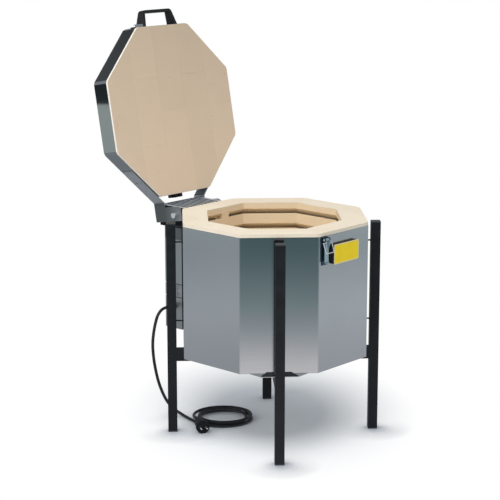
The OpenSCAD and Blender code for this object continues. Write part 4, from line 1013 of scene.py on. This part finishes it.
@dataclass
class Studio:
    """Pale floor, soft light and the camera of the photograph's view."""

    camera_at: Xyz = (-0.3139, -4.9376, 1.7244)
    camera_tilt: float = 77.23
    camera_turn: float = -2.77
    lens: float = 113.9
    sensor: float = 36.0
    view_end: float = 200.0
    aim: Xyz = (0.0, 0.0, 0.6)
    lamps: tuple[Lamp, ...] = (
        Lamp("key", (-0.6, -2.1, 4.3), 2.6, 106.0),
        Lamp("fill", (-3.4, -2.0, 2.2), 2.2, 30.0),
    )
    sky_colour: Rgb = (0.93, 0.96, 1.0)
    sky_strength: float = 0.55
    sky_bright: float = 0.6
    sky_low: float = 0.28
    sky_high: float = 0.55
    sky_dark: float = 0.09
    floor_half: float = 30.0
    floor_colour: Rgb = (0.80, 0.81, 0.83)
    seen_colour: Rgb = (0.93, 0.97, 1.0)
    pool_at: Xyz = (0.0, 0.19, 0.0)
    pool_stretch: Xyz = (1.0, 0.75, 1.0)
    white_from: float = 0.18
    white_to: float = 0.50
    foot_shade: Rgb = (0.20, 0.23, 0.27)
    foot_way: Xyz = (-0.3, 0.75, 0.6)
    foot_reach: float = 0.12
    foot_dark: float = 3.5
    touch_reach: float = 0.05
    touch_dark: float = 1.5
    right_gain: float = 1.14
    right_blur: float = 0.1
    front_from: float = 0.45
    front_to: float = 0.9
    front_fade: tuple[tuple[float, Rgb], ...] = (
        (1.2, (0.82, 0.78, 0.79)),
        (1.65, (0.42, 0.44, 0.48)),
        (2.1, (0.22, 0.29, 0.30)),
        (3.3, (0.06, 0.11, 0.12)),
    )
    side_fade: tuple[tuple[float, Rgb], ...] = (
        (1.2, (0.37, 0.39, 0.42)),
        (2.0, (0.45, 0.48, 0.51)),
        (3.3, (0.28, 0.32, 0.35)),
        (5.5, (0.62, 0.70, 0.67)),
        (8.56, (0.66, 0.72, 0.69)),
        (8.64, (0.04, 0.05, 0.055)),
    )

    def build_camera(self) -> None:
        """Sets the camera at the photograph's viewing angle."""
        data = bpy.data.cameras.new("studio_camera")
        data.lens = self.lens
        data.sensor_width = self.sensor
        data.clip_end = self.view_end
        camera = bpy.data.objects.new("studio_camera", data)
        camera.location = self.camera_at
        camera.rotation_euler = (math.radians(self.camera_tilt), 0.0, math.radians(self.camera_turn))
        bpy.context.scene.collection.objects.link(camera)
        bpy.context.scene.camera = camera

    def fade(self, b: Bench, distance: Any, stops: tuple[tuple[float, Rgb], ...]) -> bpy.types.NodeSocket:
        """Colour of the floor in reflections, from stops of distance and colour, from near to far."""
        last = stops[-1][0]
        ramp = b.add("ShaderNodeValToRGB", {"Fac": b.math("DIVIDE", distance, last)})
        elements = ramp.color_ramp.elements
        while len(elements) < len(stops):
            elements.new(1.0)
        for element, (at, colour) in zip(elements, stops):
            element.position = at / last
            element.color = (*colour, 1.0)
        return ramp.outputs["Color"]

    def mirrored_floor(self, b: Bench) -> bpy.types.NodeSocket:
        """Light of the floor in reflections: one fade in front of the part, another at its sides."""
        at = b.parts()
        distance = b.length(b.place())
        ahead = b.math("DIVIDE", b.math("MULTIPLY", at["Y"], -1.0), distance)
        right = b.math("DIVIDE", at["X"], distance)
        gain = b.spread(right, -self.right_blur, self.right_blur, 1.0, self.right_gain)
        side = b.add("ShaderNodeVectorMath", {0: self.fade(b, distance, self.side_fade)}, operation="SCALE")
        b.feed(side.inputs["Scale"], gain)
        front = b.spread(ahead, self.front_from, self.front_to)
        glow = b.blend(front, side.outputs[0], self.fade(b, distance, self.front_fade))
        return b.add("ShaderNodeEmission", {"Color": glow, "Strength": 1.0}).outputs[0]

    def foot_light(self, b: Bench) -> bpy.types.NodeSocket:
        """White of the open floor, shaded in a soft streak beside each foot and close round it."""
        way = b.add("ShaderNodeCombineXYZ", dict(zip("XYZ", self.foot_way))).outputs[0]
        keys = {"Distance": self.foot_reach, "Normal": way}
        foot = b.add("ShaderNodeAmbientOcclusion", keys, samples=8).outputs["AO"]
        touch = b.add("ShaderNodeAmbientOcclusion", {"Distance": self.touch_reach}, samples=8).outputs["AO"]
        streak, close = b.math("POWER", foot, self.foot_dark), b.math("POWER", touch, self.touch_dark)
        return b.blend(b.math("MULTIPLY", streak, close), self.foot_shade, (1.0, 1.0, 1.0))

    def seen_floor(self, b: Bench) -> bpy.types.NodeSocket:
        """Floor that the camera sees: lit and shadowed in a pool under the part, white away from it."""
        near = b.add("ShaderNodeBsdfDiffuse", {"Color": self.seen_colour}).outputs[0]
        white = b.add("ShaderNodeEmission", {"Color": self.foot_light(b), "Strength": 1.0}).outputs[0]
        moved = b.vector("SUBTRACT", b.place(), self.pool_at)
        reach = b.length(b.vector("MULTIPLY", moved, self.pool_stretch))
        away = b.spread(reach, self.white_from, self.white_to)
        return b.add("ShaderNodeMixShader", {0: away, 1: near, 2: white}).outputs[0]

    def floor_material(self) -> bpy.types.Material:
        """Pale floor with a look of its own for the camera and for reflections."""
        made = bpy.data.materials.new("studio floor")
        made.use_nodes = True
        made.node_tree.nodes.clear()
        b = Bench(made.node_tree)
        rays = b.add("ShaderNodeLightPath").outputs
        diffuse = b.add("ShaderNodeBsdfDiffuse", {"Color": self.floor_colour}).outputs[0]
        keys = {0: rays["Is Camera Ray"], 1: diffuse, 2: self.seen_floor(b)}
        plain = b.add("ShaderNodeMixShader", keys).outputs[0]
        keys = {0: rays["Is Glossy Ray"], 1: plain, 2: self.mirrored_floor(b)}
        both = b.add("ShaderNodeMixShader", keys).outputs[0]
        b.feed(b.add("ShaderNodeOutputMaterial").inputs["Surface"], both)
        return made

    def build_floor(self) -> None:
        """Makes the floor."""
        h = self.floor_half
        corners = np.array([[-h, -h, 0.0], [h, -h, 0.0], [h, h, 0.0], [-h, h, 0.0]])
        floor = make_object("studio_floor", corners, [[0, 1, 2, 3]], smooth=False)
        floor.data.materials.append(self.floor_material())

    def build_world(self) -> None:
        """White for the camera, a soft grey sky for the light, a sky that darkens upwards for reflections."""
        world = bpy.data.worlds.new("studio")
        world.use_nodes = True
        bpy.context.scene.world = world
        world.node_tree.nodes.clear()
        b = Bench(world.node_tree)
        rays = b.add("ShaderNodeLightPath").outputs
        seen = b.math("MAXIMUM", rays["Is Camera Ray"], rays["Is Transmission Ray"])
        white = b.add("ShaderNodeBackground", {"Color": (1.0, 1.0, 1.0), "Strength": 1.0}).outputs[0]
        keys = {"Color": self.sky_colour, "Strength": self.sky_strength}
        sky = b.add("ShaderNodeBackground", keys).outputs[0]
        up = b.add("ShaderNodeSeparateXYZ", {0: b.add("ShaderNodeTexCoord").outputs["Generated"]}).outputs["Z"]
        fall = b.spread(up, self.sky_low, self.sky_high, self.sky_bright, self.sky_dark)
        shine = b.add("ShaderNodeBackground", {"Color": self.sky_colour, "Strength": fall}).outputs[0]
        plain = b.add("ShaderNodeMixShader", {0: rays["Is Glossy Ray"], 1: sky, 2: shine}).outputs[0]
        mixed = b.add("ShaderNodeMixShader", {0: seen, 1: plain, 2: white}).outputs[0]
        b.feed(b.add("ShaderNodeOutputWorld").inputs["Surface"], mixed)

    def build_light(self) -> None:
        """Hangs the lamps: a large soft key above the front and a weaker fill from the left."""
        for lamp in self.lamps:
            data = bpy.data.lights.new(lamp.name, "AREA")
            data.size = lamp.size
            data.energy = lamp.watts
            made = bpy.data.objects.new(lamp.name, data)
            made.location = lamp.at
            x, y, z = np.array(self.aim) - np.array(lamp.at)
            made.rotation_euler = (math.atan2(math.hypot(x, y), -z), 0.0, math.atan2(-x, y))
            bpy.context.scene.collection.objects.link(made)

    def build(self) -> None:
        """Makes the whole stage."""
        self.build_camera()
        self.build_floor()
        self.build_world()
        self.build_light()


def main() -> None:
    """Loads the frame, builds the studio, dresses the frame and logs each piece it makes."""
    logging.basicConfig(level=logging.INFO, format="%(name)s: %(message)s")
    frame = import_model()
    bpy.context.scene.view_settings.view_transform = "Standard"
    nodes = frame["nodes"]
    Studio().build()
    MainsCord(nodes).build()
    for finish, names in NODE_FINISHES.items():
        for name in names.split():
            paint(nodes[name], finish)
    for name in UNMIRRORED:
        nodes[name].visible_glossy = False
    HeatingElements().build()
    BarePlate().build()


if __name__ == "__main__":
    main()
